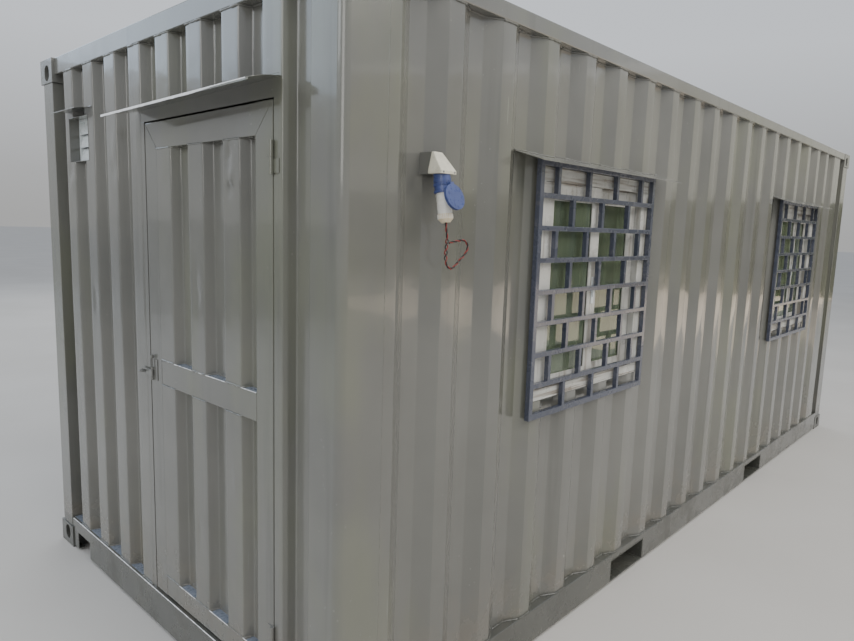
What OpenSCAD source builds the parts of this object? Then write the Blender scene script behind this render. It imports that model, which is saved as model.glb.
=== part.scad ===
// Shipping container cabin: a 20 ft steel container with a steel door in one end, two barred
// windows in one long side, a vent, a canopy and an electrical inlet. Millimetres.
// X runs along the container, with the cabin door at -X. The windows face -Y.
// The origin is on the ground, midway between the bottom corner castings.

/* [Container] */
// Overall length over the corner castings
container_l = 6058; // [5800:1:6600]
// Overall width over the corner castings
container_w = 2438; // [2300:1:2600]
// Overall height over the corner castings
container_h = 2591; // [2500:1:2900]
// Thickness of the corrugated sheets
sheet_t = 2; // [1.5:0.5:3]

/* [Corner castings] */
// Casting size along the container
casting_l = 178; // [170:1:190]
// Casting size across the container
casting_w = 162; // [155:1:175]
// Casting height
casting_h = 118; // [114:1:130]
// Thickness of the plate with the locking slot
casting_plate = 28.5; // [20:0.5:30]
// Thickness of the outer walls
casting_outer_t = 24; // [16:1:28]
// Thickness of the inner walls and of the inner plate
casting_inner_t = 9; // [6:1:11]
// Locking slot length, along the container
slot_l = 124; // [118:1:126]
// Locking slot width
slot_w = 63.5; // [58:0.5:66]
// Slot centre from the casting's end face
slot_from_end = 102.5; // [98:0.5:104]
// Slot centre from the casting's side face
slot_from_side = 89.5; // [84:0.5:94]
// Height of the holes in the end and side faces
face_hole_h = 78; // [66:1:80]
// Width of the holes in the end and side faces
face_hole_w = 63.5; // [50:0.5:64]

/* [Frame] */
// How far posts and rails are set in from the castings' faces
frame_inset = 4; // [2:1:8]
// Door end corner post, size across the container
post_w = 148; // [120:1:158]
// Cargo end corner post, size across the container
cargo_post_w = 74; // [60:1:110]
// Thickness of the corner posts' plate
post_t = 6; // [4:0.5:8]
// Outer radius of the corner posts' rounded edge
post_r = 28; // [10:1:40]
// Height of the rails' underside over the ground
rail_gap = 12; // [8:1:20]
// Top of the bottom side rails over the ground
rail_top = 162; // [150:1:168]
// Width of the bottom side rails' top flange
rail_flange = 48; // [42:1:60]
// Width of the bottom side rails' lower flange
rail_lip = 30; // [20:1:40]
// Thickness of the bottom side rails
rail_t = 4.5; // [3:0.5:6]
// Size of the square tube of the top rails
top_tube = 60; // [54:1:70]
// Wall of the top rails' tube
top_tube_t = 4; // [3:0.5:5]
// Top of the end sills over the ground
sill_top = 170; // [164:1:176]
// Width of the end sills' top ledge
sill_ledge = 68; // [60:1:90]
// Thickness of the end sills' plate
sill_t = 5; // [4:0.5:8]
// Width of the notch in the door end sill beside each casting
sill_notch_w = 160; // [100:1:200]
// Height of the notch's top over the ground
sill_notch_top = 103; // [80:1:130]
// Distance from the container's centre line to the notch's outer edge
sill_notch_y = 990; // [950:1:1040]
// Height of the cargo end header
header_h = 106; // [80:1:118]
// Height of the door end's top rail
door_rail_h = 80; // [70:1:100]
// How far the top side rails are set in from the castings' faces
side_rail_set = 3; // [2:0.5:6]
// How far the end sills are set in from the castings' faces
sill_set = 6; // [3:0.5:8]
// How far the door end's top rail stands past the end wall
rail_proud = 2; // [1:0.5:4]

/* [Floor] */
// Height of the cross members
member_h = 122; // [110:1:126]
// Flange width of the cross members
member_flange = 45; // [40:1:60]
// Thickness of the cross members
member_t = 4; // [3:0.5:5]
// Number of cross members between the fork pockets
inner_members = 5; // [3:1:6]
// Number of cross members outside each fork pocket
outer_members = 5; // [3:1:6]
// Thickness of the plywood floor
floor_t = 28; // [18:1:30]
// Number of plywood sheets along the floor
floor_sheets = 5; // [3:1:8]
// Joint between plywood sheets
floor_joint = 2; // [1.5:0.5:4]
// Distance between the fork pockets' centres
pocket_pitch = 2050; // [1900:1:2150]
// Clear width of a fork pocket
pocket_w = 360; // [330:1:380]
// Clear height of a fork pocket
pocket_h = 108; // [100:1:112]
// Plate thickness of a fork pocket
pocket_t = 6; // [4:0.5:6]
// Length of the strap under each end of a fork pocket
pocket_strap = 200; // [120:1:300]
// How far the floor lies under the end sills' tops
floor_drop = 3; // [2:0.5:6]

/* [Side walls] */
// Number of recesses along a side wall
side_recesses = 20; // [18:1:22]
// Extra distance of the recess beside the cargo end's post, after a wide flat
side_last_shift = 131; // [0:1:140]
// Depth of the side walls' corrugation
side_depth = 36; // [24:1:38]
// Width of the outer flats between recesses
side_crest = 72; // [60:1:90]
// Width of the sloping flanks
side_slope = 68; // [50:1:72]
// Flat strip beside each corner post
side_end_flat = 50; // [40:1:70]
// How far the crests are set in from the castings' faces
side_set = 9; // [7:1:9]

/* [End wall] */
// Depth of the end wall's corrugation
end_depth = 46; // [30:1:47]
// Width of the outer flats
end_crest = 108; // [90:1:120]
// Width of the steep flanks
end_slope = 18; // [14:1:24]
// Distance from one crest to the next
end_pitch = 250; // [240:1:255]
// How far the crests are set in from the castings' faces
end_set = 17; // [12:1:20]
// Shift of the crests towards the vent
end_shift = 22; // [0:1:40]

/* [Roof] */
// Depth of the roof's corrugation
roof_depth = 20; // [12:1:24]
// Distance from one roof crest to the next
roof_pitch = 209; // [190:1:230]
// Width of the roof's outer flats
roof_crest = 91; // [80:1:100]
// Width of the roof's flanks
roof_slope = 14; // [10:1:20]
// How far the roof's crests lie under the castings' top faces
roof_set = 8; // [6:1:12]

/* [Cabin door] */
// Door leaf width
door_w = 913; // [850:1:930]
// Distance of the leaf's top edge under the container's top
door_drop = 401; // [380:1:500]
// Distance of the leaf's latch edge from the centre line, towards the vent
door_latch_y = 58; // [30:1:62]
// Gap under the leaf
door_floor_gap = 8; // [6:1:14]
// Gap at the sides and top of the leaf
door_gap = 6; // [5:0.5:8]
// Clearance between the closed leaf and the jambs behind it
door_stop_gap = 5.5; // [5:0.5:8]
// Width of the leaf's stiles
stile_w = 100; // [90:1:120]
// Height of the leaf's top rail
leaf_top_rail = 104; // [90:1:120]
// Height of the leaf's bottom rail
leaf_bottom_rail = 90; // [70:1:240]
// Height of the middle rail's lower edge over the leaf's bottom
leaf_mid_z = 946; // [800:1:1050]
// Height of the middle rail
leaf_mid_rail = 104; // [80:1:130]
// Centre of the leaf's first recess from its latch edge
leaf_recess_first = 286; // [250:1:290]
// Thickness of the leaf's folded steel
leaf_t = 3; // [2:0.5:4]
// Size of the door frame's tube
jamb_tube = 50; // [40:1:60]
// Wall of the door frame's tube and of the reveal plate
jamb_t = 4; // [3:0.5:5]
// Overlap of the door frame's tube behind the leaf, past the reveal
jamb_stop = 20; // [10:1:30]
// Face width of the door frame beside the leaf
jamb_face = 30; // [20:1:32]
// Face height of the door frame over the leaf
head_face = 70; // [50:1:90]

/* [Hinges] */
// Outer radius of the hinge barrels
barrel_r = 8; // [7:0.5:10]
// Radius of the hinge pins
pin_r = 4; // [3:0.5:5]
// Running clearance round a hinge pin
pin_clear = 0.05; // [0.02:0.01:0.09]
// Length of a whole hinge
hinge_l = 106; // [80:1:140]
// Gap between the two halves of a hinge
hinge_split = 1; // [0.5:0.5:2]
// Middle of the upper hinge, down from the leaf's top
hinge_down = 178; // [120:1:300]
// Middle of the lower hinge, up from the leaf's bottom
hinge_up = 178; // [120:1:300]
// Width of the hinge straps
strap_w = 34; // [24:1:42]
// Thickness of the hinge straps
strap_t = 3; // [2:0.5:4]

/* [Hasp] */
// Height of the hasp's strap over the ground
hasp_z = 1160; // [1150:1:1190]
// Distance of the hasp's pin from the leaf's latch edge
hasp_in = 28; // [20:1:40]
// Distance of the hasp's pin from the leaf's face
hasp_off = 9; // [8:0.5:10]
// Outer radius of the hasp's knuckles
hasp_r = 5; // [4.5:0.5:6]
// Radius of the hasp's pin
hasp_pin_r = 2.5; // [2:0.5:3]
// Reach of the strap from its pin
hasp_reach = 102; // [98:1:108]
// Height of the strap
hasp_h = 28; // [24:1:36]
// Thickness of the strap and its plate
hasp_t = 3; // [2:0.5:4]
// Height of the hasp's plate on the leaf
hasp_plate_h = 90; // [70:1:110]
// Width of the hasp's plate
hasp_plate_w = 30; // [24:1:40]
// Middle of the strap's slot from its pin
hasp_slot_at = 76; // [74:1:80]
// Length of the strap's slot
hasp_slot_l = 36; // [34:1:40]
// Height of the strap's slot
hasp_slot_h = 13; // [12:1:16]
// Radius of the staple's rod
staple_r = 3.5; // [3:0.5:4]
// Distance between the staple's legs
staple_w = 18; // [16:1:20]
// Reach of the staple out from the wall
staple_reach = 30; // [24:1:36]
// Height of the hasp pin's knob over the strap's middle
knob_up = 66; // [40:1:90]
// Radius of the hasp pin's knob
knob_r = 7; // [5:0.5:8]

/* [Canopy] */
// Canopy length along the wall
canopy_l = 1100; // [950:1:1150]
// Canopy reach out from the wall
canopy_reach = 150; // [100:1:200]
// Distance of the canopy's root under the container's top, at the vent side
canopy_drop = 348; // [300:1:352]
// Slope of the canopy in degrees
canopy_slope = 13; // [5:1:14]
// Thickness of the canopy's sheet
canopy_t = 2; // [1.5:0.5:4]
// Height of the lip along the canopy's outer edge
canopy_lip = 8; // [4:1:10]
// Distance of the canopy's vent-side end from the centre line
canopy_y = 115; // [100:1:160]
// Rise of the canopy towards the hinge side in degrees
canopy_rise = 0.8; // [0:0.1:2]
// Turn of the canopy's hinge side towards the wall in degrees
canopy_turn = 0.5; // [0:0.1:3]
// Slant of the canopy's hinge-side end in degrees, longest at the lip
canopy_splay = 30; // [0:1:40]
// Radius of the canopy's outer corner at the hinge side
canopy_corner = 34; // [10:1:50]

/* [Vent] */
// Clear width of the vent hole
vent_w = 240; // [200:1:260]
// Clear height of the vent hole
vent_h = 210; // [180:1:260]
// Distance of the vent hole's top under the container's top
vent_drop = 309; // [260:1:400]
// Distance of the vent hole's inner edge from the centre line
vent_y = 660; // [560:1:680]
// Thickness of the vent's sleeve
vent_sleeve_t = 2; // [1.5:0.5:3]
// Depth of the vent's sleeve
vent_sleeve_d = 66; // [60:1:90]
// Number of louvre blades
vent_blades = 3; // [2:1:6]
// Thickness of the louvre blades
vent_blade_t = 3; // [2:0.5:4]
// Width of the louvre's border
vent_border = 10; // [6:1:20]
// Thickness of the louvre
vent_louvre_t = 20; // [14:1:24]
// Reach of the vent's hood
vent_hood_reach = 75; // [50:1:110]
// Gap between the vent hole and its hood
vent_hood_up = 30; // [8:1:40]
// Length of the vent's hood
vent_hood_l = 300; // [260:1:340]
// Overhang of the vent's hood past the hole, on the door's side
vent_hood_past = 50; // [20:1:60]
// Slope of the vent's hood in degrees
vent_hood_slope = 10; // [5:1:20]

/* [Windows] */
// Width over a window's bar grille
grille_w = 1000; // [900:1:1100]
// Height over a window's bar grille
grille_h = 1041; // [1000:1:1100]
// Distance of the grilles' top under the container's top
grille_drop = 506; // [440:1:600]
// First window's edge from the container's door end
window_1_from_end = 969; // [900:1:1100]
// Second window's edge from the container's cargo end
window_2_from_end = 965; // [880:1:1100]
// Face width of the grille's outer frame
grille_frame = 25; // [20:1:30]
// Size of the grille's bars
grille_bar = 20; // [14:1:20]
// Depth of the grille's outer frame
grille_depth = 22; // [20:1:40]
// Number of rows between the grille's level bars
grille_rows = 8; // [6:1:10]
// Number of half bays across the grille
grille_bays = 8; // [6:2:10]
// Overlap of the grille's frame on the wall beside and over the hole
hole_lap = 25; // [22:1:30]
// Height of a window's hole
hole_h = 950; // [850:1:960]
// Depth of the steel sub-frame
sub_depth = 65; // [62:1:90]
// Wall of the steel sub-frame
sub_t = 3; // [2:0.5:4]
// Face width of the white window frame
upvc_frame = 50; // [40:1:60]
// Height of the white frame's sill
upvc_sill = 38; // [30:1:60]
// Depth of the white window frame
upvc_depth = 60; // [56:1:66]
// Face width of the sashes
sash_frame = 62; // [50:1:70]
// Height of a sash's lower rail
sash_foot = 46; // [40:1:70]
// Depth of a sash
sash_depth = 24; // [20:1:26]
// Overlap of the two sashes at the middle
sash_lap = 62; // [50:1:70]
// Running clearance of the sashes
sash_clear = 1.5; // [1:0.5:3]
// Thickness of the glass
glass_t = 5; // [4:0.5:8]
// Depth of the glass in the sash's groove
glass_bite = 8; // [5:1:12]
// Reach of the rain hoods
hood_reach = 104; // [80:1:140]
// Slope of the rain hoods in degrees
hood_slope = 17; // [5:1:17]
// Thickness of the rain hoods
hood_t = 2; // [1.5:0.5:3]
// Height of the rain hoods' root over the grille's top
hood_up = 11; // [11:1:24]
// Overhang of the rain hoods past each side of the grille
hood_past = 115; // [0:1:130]

/* [Electrical inlet] */
// Distance of the inlet's axis from the container's door end
inlet_from_end = 379; // [370:1:384]
// Distance of the inlet housing's top under the container's top
inlet_drop = 546; // [440:1:700]
// Width of the inlet's housing at its foot
inlet_w = 74; // [70:1:92]
// Width of the inlet's housing at its top
inlet_top_w = 44; // [36:1:60]
// Height of the inlet's housing
inlet_h = 70; // [60:1:80]
// Width of the steel bracket behind the housing
bracket_w = 46; // [40:1:70]
// Lean of the inlet's axis away from the wall in degrees
inlet_lean = 9; // [0:1:12]
// Distance of the inlet's axis from the wall's crests
inlet_off = 42; // [38:1:50]
// Reach of the steel bracket past the crests
bracket_reach = 14; // [12:1:18]
// Radius of the blue collar
collar_r = 27; // [24:1:28]
// Length of the blue collar
collar_l = 60; // [40:1:70]
// Radius of the plug's grip
plug_r = 24; // [22:0.5:26]
// Length of the plug
plug_l = 66; // [56:1:90]
// Radius of the gland nut
gland_r = 24; // [20:1:26]
// Length of the gland nut
gland_l = 27; // [20:1:32]
// Radius of the blue lid
lid_r = 42; // [34:1:44]
// Thickness of the blue lid
lid_t = 9; // [6:1:12]
// Lean of the open lid from the inlet's axis in degrees
lid_lean = 11; // [5:1:20]
// Radius over the twisted wires
wire_r = 3.5; // [2:0.25:4]

/* [Cargo end] */
// How far the cargo doors' faces are set in from the castings' faces
cargo_set = 62; // [60:1:80]
// Depth of the cargo doors
cargo_depth = 50; // [44:1:60]
// Gap round and between the cargo doors
cargo_gap = 12; // [8:1:20]
// Width of the cargo doors' frame members
cargo_frame = 100; // [70:1:120]
// Wall of the cargo doors' frame members
cargo_t = 4; // [3:0.5:5]
// Number of pressed recesses in each cargo door
cargo_ribs = 3; // [2:1:4]
// Depth of the cargo doors' recesses
cargo_recess = 36; // [20:1:40]
// Radius of the locking bars
bar_r = 17; // [14:1:20]
// Distance of a locking bar from the cargo door's face
bar_off = 30; // [24:1:36]
// Inner bar's distance from the gap between the cargo doors
bar_first = 86; // [70:1:100]
// Outer bar's distance from the castings
bar_last = 46; // [44:1:60]
// Reach of the locking bars over the header and under the sill's top
bar_reach = 60; // [50:1:70]
// Width of the locking bars' brackets
bracket_l = 68; // [50:1:80]
// Height of the locking bars' brackets
bracket_h = 50; // [30:1:70]
// Distance of the outer brackets from the cargo doors' ends
bracket_from_end = 150; // [110:1:260]
// Width of the locking bars' cams
cam_w = 44; // [36:1:46]
// Height of the locking bars' cams
cam_h = 40; // [30:1:44]
// Width of the bar keepers
keeper_w = 84; // [76:1:90]
// Height of the bar keepers
keeper_h = 56; // [50:1:64]
// Clear width between a bar keeper's jaws
keeper_gap = 48; // [48:1:56]
// Number of hinges on each cargo door
cargo_hinge_count = 4; // [3:1:5]
// Length of a cargo hinge's knuckle
cargo_knuckle_l = 100; // [80:1:130]
// Radius of a cargo hinge's knuckle
cargo_knuckle_r = 12; // [10:0.5:13]
// Distance of the end hinges' knuckles from the cargo doors' ends
cargo_hinge_from_end = 190; // [140:1:300]
// Length of a cargo hinge's blade on the door
cargo_blade_l = 60; // [50:1:90]
// Thickness of a cargo hinge's blade
cargo_blade_t = 8; // [6:0.5:10]
// Width of the flats beside a cargo door's recesses
cargo_flat = 36; // [20:1:50]
// Width of the flanks of a cargo door's recesses
cargo_slope = 34; // [20:1:40]

/* [Hidden] */
$fn = 48;
eps = 1;

enamel = "#777a77";
grille_blue = "#2c3558";

half_l = container_l / 2;
half_w = container_w / 2;
post_l = casting_l - frame_inset;
// The inner faces of the castings, which the rails run between
inner_x = half_l - casting_l;
inner_y = half_w - casting_w;
post_inner_y = half_w - frame_inset - post_w;
cargo_inner_y = half_w - frame_inset - cargo_post_w;
rail_y = half_w - side_rail_set;
top_rail_z = container_h - top_tube;
side_y = half_w - side_set;
end_x = half_l - end_set;
end_top_z = container_h - door_rail_h;
sill_x = half_l - sill_set;
cargo_x = half_l - cargo_set;
header_z = container_h - header_h - roof_set + sheet_t;

// Window edges along the wall, measured on the grilles
window_x = [-half_l + window_1_from_end, half_l - window_2_from_end - grille_w];
hole_w = grille_w - 2 * hole_lap;
grille_z = container_h - grille_drop - grille_h;
hole_z = grille_z + grille_h - hole_lap - hole_h;

// The door leaf's edges
leaf_y1 = door_latch_y;
leaf_y0 = door_latch_y - door_w;
leaf_z0 = sill_top + door_floor_gap;
leaf_z1 = container_h - door_drop;
door_h = leaf_z1 - leaf_z0;
leaf_x = -end_x;
leaf_depth = end_depth + sheet_t - door_stop_gap;
reveal_y0 = leaf_y0 - door_gap;
reveal_y1 = leaf_y1 + door_gap;
reveal_z1 = leaf_z1 + door_gap;
hinge_x = leaf_x - barrel_r;
hinge_y = leaf_y0 - door_gap / 2;

// Outer line of a corrugated sheet, as [along, depth] points. Each ridge leaves the base depth at
// its foot and reaches the tip depth; shift and drop move the line to the sheet's other face.
function ridge_line(u0, u1, centres, half, slope, base, tip, shift, drop) = concat(
    [[u0, base + drop]],
    [for (c = centres) each [[c - half - slope + shift, base + drop], [c - half + shift, tip + drop],
        [c + half - shift, tip + drop], [c + half + slope - shift, base + drop]]],
    [[u1, base + drop]]);

function reversed(list) = [for (i = [len(list) - 1:-1:0]) list[i]];

// A sheet of even thickness that follows a ridge line, as a closed outline
function corrugated(u0, u1, centres, half, slope, base, tip, t) =
    let (corner = t * tan(atan2(abs(tip - base), slope) / 2))
    let (shift = base > tip ? corner : -corner)
    concat(ridge_line(u0, u1, centres, half, slope, base, tip, 0, 0),
        reversed(ridge_line(u0, u1, centres, half, slope, base, tip, shift, t)));

function swapped(points) = [for (p = points) [p[1], p[0]]];

// Side walls: recess centres between the two end flats
side_half = inner_x - side_end_flat;
side_pitch = (2 * side_half + side_crest) / side_recesses;
side_floor = side_pitch - side_crest - 2 * side_slope;
side_centres = [for (i = [0:side_recesses - 1])
    -side_half + side_slope + side_floor / 2 + i * side_pitch
        + (i == side_recesses - 1 ? side_last_shift : 0)];
// The sheet's outline runs on past the posts, and each stretch is cut from it
side_run = inner_x + side_last_shift + side_pitch;

// End wall: crest centres, evenly spaced
end_crests = 2 * floor((post_inner_y - end_slope - end_crest / 2 + end_pitch / 2) / end_pitch);
end_centres = [for (i = [0:end_crests - 1]) (i - (end_crests - 1) / 2) * end_pitch + end_shift];

module stadium(l, w, t) {
    linear_extrude(t) {
        square([l - w, w], center = true);
        for (s = [-1, 1])
            translate([s * (l - w) / 2, 0])
                circle(d = w);
    }
}

// A corner casting with its outer corner at the origin, reaching to +X, +Y and +Z, slot below
module casting() {
    difference() {
        cube([casting_l, casting_w, casting_h]);
        translate([casting_outer_t, casting_outer_t, casting_plate])
            cube([casting_l - casting_outer_t - casting_inner_t,
                casting_w - casting_outer_t - casting_inner_t,
                casting_h - casting_plate - casting_inner_t]);
        translate([slot_from_end, slot_from_side, -eps])
            stadium(slot_l, slot_w, casting_plate + 2 * eps);
        translate([-eps, slot_from_side, casting_plate + face_hole_h / 2 + eps])
            rotate([0, 90, 0])
                stadium(face_hole_h, face_hole_w, casting_outer_t + 2 * eps);
        translate([slot_from_end, -eps, casting_plate + face_hole_h / 2 + eps])
            rotate([-90, 0, 0])
                rotate([0, 0, 90])
                    stadium(face_hole_h, face_hole_w, casting_outer_t + 2 * eps);
    }
}

module four_castings() {
    for (mx = [0, 1], my = [0, 1])
        mirror([mx, 0, 0])
            mirror([0, my, 0])
                translate([-half_l, -half_w, 0])
                    casting();
}

module bottom_castings() {
    color(enamel)
        four_castings();
}

module top_castings() {
    color(enamel)
        translate([0, 0, container_h])
            mirror([0, 0, 1])
                four_castings();
}

// Outline of a corner post with its outer corner rounded at the origin
module post_outline(l, w, r) {
    translate([r, 0])
        square([l - r, w]);
    translate([0, r])
        square([l, w - r]);
    translate([r, r])
        circle(r);
}

module post(l, w) {
    linear_extrude(container_h - 2 * casting_h)
        difference() {
            post_outline(l, w, post_r);
            translate([post_t, post_t])
                post_outline(l - 2 * post_t, w - 2 * post_t, post_r - post_t);
        }
}

module post_pair(w) {
    for (my = [0, 1])
        mirror([0, my, 0])
            translate([-half_l + frame_inset, -half_w + frame_inset, casting_h])
                post(post_l, w);
}

module door_end_posts() {
    color(enamel)
        post_pair(post_w);
}

module cargo_end_posts() {
    color(enamel)
        mirror([1, 0, 0])
            post_pair(cargo_post_w);
}

pocket_outer = pocket_w / 2 + pocket_t;
pocket_top = rail_gap + pocket_t + pocket_h + pocket_t;

// A channel rail, open towards the container's middle, cut away round the fork pockets
module bottom_side_rail() {
    difference() {
        translate([-inner_x, -rail_y, 0])
            rotate([90, 0, 90])
                linear_extrude(2 * inner_x)
                    polygon([[0, rail_gap], [rail_lip, rail_gap], [rail_lip, rail_gap + rail_t],
                        [rail_t, rail_gap + rail_t], [rail_t, rail_top - rail_t],
                        [rail_flange, rail_top - rail_t], [rail_flange, rail_top], [0, rail_top]]);
        for (s = [-1, 1])
            translate([s * pocket_pitch / 2 - pocket_outer, -rail_y - eps, rail_gap - eps])
                cube([2 * pocket_outer, rail_flange + 2 * eps, pocket_top - rail_gap + eps]);
    }
}

module bottom_side_rails() {
    color(enamel)
        for (my = [0, 1])
            mirror([0, my, 0])
                bottom_side_rail();
}

// A square tube along X from the origin, with its outer corner there
module tube(l, w, h, t) {
    difference() {
        cube([l, w, h]);
        translate([-eps, t, t])
            cube([l + 2 * eps, w - 2 * t, h - 2 * t]);
    }
}

module top_side_rails() {
    color(enamel)
        for (my = [0, 1])
            mirror([0, my, 0])
                translate([-inner_x, -rail_y, top_rail_z])
                    tube(2 * inner_x, top_tube, top_tube, top_tube_t);
}

module door_end_top_rail() {
    color(enamel)
        translate([-end_x - rail_proud + top_tube, -inner_y, end_top_z])
            rotate([0, 0, 90])
                tube(2 * inner_y, top_tube, door_rail_h, top_tube_t);
}

// A channel sill with a wide top ledge, open towards the container's middle
module sill(width, height) {
    rotate([90, 0, 0])
        linear_extrude(width, center = true)
            polygon([[0, rail_gap], [rail_lip, rail_gap], [rail_lip, rail_gap + sill_t],
                [sill_t, rail_gap + sill_t], [sill_t, height - sill_t],
                [sill_ledge, height - sill_t], [sill_ledge, height], [0, height]]);
}

module door_end_sill() {
    color(enamel)
        difference() {
            intersection() {
                translate([-sill_x, 0, 0])
                    sill(2 * post_inner_y, sill_top);
                between_corners();
            }
            for (s = [-1, 1])
                translate([-sill_x - eps, s * (sill_notch_y - sill_notch_w / 2) - sill_notch_w / 2, 0])
                    cube([sill_ledge, sill_notch_w, sill_notch_top]);
        }
}

module cargo_sill() {
    color(enamel)
        mirror([1, 0, 0])
            translate([-cargo_x, 0, 0])
                sill(2 * inner_y, sill_top);
}

module cargo_header() {
    color(enamel)
        translate([cargo_x, -inner_y, header_z])
            rotate([0, 0, 90])
                tube(2 * inner_y, top_tube, header_h, top_tube_t);
}

module cross_member() {
    translate([-member_flange / 2, rail_y - rail_t, floor_base - member_h])
        rotate([90, 0, 0])
            linear_extrude(2 * (rail_y - rail_t))
                polygon([[0, 0], [member_flange, 0], [member_flange, member_t], [member_t, member_t],
                    [member_t, member_h - member_t], [member_flange, member_h - member_t],
                    [member_flange, member_h], [0, member_h]]);
}

floor_base = sill_top - floor_drop - floor_t;
inner_reach = pocket_pitch / 2 - pocket_outer - 2 * member_flange;
outer_start = pocket_pitch / 2 + pocket_outer + 2 * member_flange;
outer_reach = inner_x - 2 * member_flange;

module cross_members() {
    color("#5d5f5c") {
        for (i = [0:inner_members - 1])
            translate([-inner_reach + 2 * inner_reach * i / (inner_members - 1), 0, 0])
                cross_member();
        for (s = [-1, 1], i = [0:outer_members - 1])
            translate([s * (outer_start + (outer_reach - outer_start) * i / (outer_members - 1)), 0, 0])
                cross_member();
    }
}

// A tunnel right through the base for a fork lift's tine, with a strap under each end
module fork_pocket() {
    difference() {
        translate([-pocket_outer, -rail_y, rail_gap])
            cube([2 * pocket_outer, 2 * rail_y, pocket_top - rail_gap]);
        translate([-pocket_w / 2, -rail_y - eps, rail_gap + pocket_t])
            cube([pocket_w, 2 * (rail_y + eps), pocket_h]);
        translate([-pocket_w / 2, -rail_y + pocket_strap, rail_gap - eps])
            cube([pocket_w, 2 * (rail_y - pocket_strap), pocket_h]);
    }
}

module fork_pockets() {
    color(enamel)
        for (s = [-1, 1])
            translate([s * pocket_pitch / 2, 0, 0])
                fork_pocket();
}

floor_x0 = -sill_x + sill_ledge + 2;
floor_x1 = cargo_x - sill_ledge - 2;
floor_half_w = rail_y - rail_flange - floor_drop;
floor_sheet_l = (floor_x1 - floor_x0 - (floor_sheets - 1) * floor_joint) / floor_sheets;

module floor_sheets() {
    color("#8a6b45")
        difference() {
            for (i = [0:floor_sheets - 1])
                translate([floor_x0 + i * (floor_sheet_l + floor_joint), -floor_half_w, floor_base])
                    cube([floor_sheet_l, 2 * floor_half_w, floor_t]);
            for (sx = [-1, 1], sy = [-1, 1])
                translate([sx * half_l, sy * half_w, floor_base])
                    cube([2 * (casting_l + floor_joint), 2 * (frame_inset + post_w + floor_joint),
                        4 * floor_t], center = true);
        }
}

roof_top = container_h - roof_set;
roof_inner_y = rail_y - top_tube;
roof_count = floor((2 * inner_x - 2 * roof_slope) / roof_pitch);
roof_centres = [for (i = [0:roof_count - 1]) (i - (roof_count - 1) / 2) * roof_pitch];

// Crests run across the container; depth is measured down from the crests
module roof_sheet() {
    color(enamel)
        translate([0, roof_inner_y, roof_top])
            rotate([90, 0, 0])
                linear_extrude(2 * roof_inner_y)
                    polygon([for (p = corrugated(-inner_x, inner_x, roof_centres,
                        (roof_pitch - roof_crest) / 2 - roof_slope, roof_slope, 0, roof_depth,
                        sheet_t)) [p[0], -p[1]]]);
}

module roof_end_plates() {
    plate_t = 2 * sheet_t;
    color(enamel) {
        translate([-end_x - rail_proud + top_tube, -inner_y, roof_top - plate_t])
            cube([end_x + rail_proud - top_tube - inner_x, 2 * inner_y, plate_t]);
        translate([inner_x, -inner_y, roof_top - plate_t])
            cube([cargo_x - top_tube - inner_x, 2 * inner_y, plate_t]);
    }
}

// A stretch of the window wall between two places along it and two heights
module side_sheet(x0, x1, z0, z1) {
    intersection() {
        translate([0, -side_y, z0])
            linear_extrude(z1 - z0)
                polygon(corrugated(-side_run, side_run, side_centres, side_floor / 2, side_slope,
                    0, side_depth, sheet_t));
        translate([x0, -half_w, z0])
            cube([x1 - x0, half_w, z1 - z0]);
    }
}

module window_wall_panels() {
    color(enamel) {
        side_sheet(-inner_x, window_x[0] + hole_lap, rail_top, top_rail_z);
        side_sheet(window_x[0] + hole_lap + hole_w, window_x[1] + hole_lap, rail_top, top_rail_z);
        side_sheet(window_x[1] + hole_lap + hole_w, inner_x, rail_top, top_rail_z);
    }
}

module window_wall_infills() {
    color(enamel)
        for (x = window_x) {
            side_sheet(x + hole_lap, x + hole_lap + hole_w, rail_top, hole_z);
            side_sheet(x + hole_lap, x + hole_lap + hole_w, hole_z + hole_h, top_rail_z);
        }
}

// The room behind the window wall's outer face, between two heights
module behind_side_wall(z0, z1) {
    translate([0, -side_y, z0])
        linear_extrude(z1 - z0)
            polygon(concat(ridge_line(-side_run, side_run, side_centres, side_floor / 2, side_slope,
                0, side_depth, 0, 0), [[side_run, 4 * side_depth], [-side_run, 4 * side_depth]]));
}

module back_wall() {
    color(enamel)
        mirror([0, 1, 0])
            side_sheet(-inner_x, inner_x, rail_top, top_rail_z);
}

// A stretch of the end wall between two places across it and two heights
module end_sheet(y0, y1, z0, z1) {
    intersection() {
        translate([-end_x, 0, z0])
            linear_extrude(z1 - z0)
                polygon(swapped(corrugated(-post_inner_y, post_inner_y, end_centres, end_crest / 2,
                    end_slope, end_depth, 0, sheet_t)));
        translate([-half_l, y0, z0])
            cube([half_l, y1 - y0, z1 - z0]);
        between_corners();
    }
}

// The room behind the end wall's outer face, between two heights
module behind_end_wall(z0, z1) {
    translate([-end_x, 0, z0])
        linear_extrude(z1 - z0)
            polygon(swapped(concat(ridge_line(-post_inner_y, post_inner_y, end_centres, end_crest / 2,
                end_slope, end_depth, 0, 0, 0),
                [[post_inner_y, 4 * end_depth], [-post_inner_y, 4 * end_depth]])));
}

// Room between the door end's posts and castings
module between_corners() {
    translate([-half_l, -inner_y, 0])
        cube([container_l, 2 * inner_y, container_h]);
    translate([-half_l, -post_inner_y, casting_h])
        cube([container_l, 2 * post_inner_y, container_h - 2 * casting_h]);
}

vent_z = container_h - vent_drop - vent_h;

module end_wall_vent_side() {
    color(enamel)
        difference() {
            end_sheet(reveal_y1 + jamb_face, post_inner_y, sill_top, end_top_z);
            translate([-half_l, vent_y, vent_z])
                cube([half_l, vent_w, vent_h]);
        }
}

module end_wall_over_door() {
    color(enamel)
        end_sheet(reveal_y0 - jamb_face, reveal_y1 + jamb_face, reveal_z1 + head_face, end_top_z);
}

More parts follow.
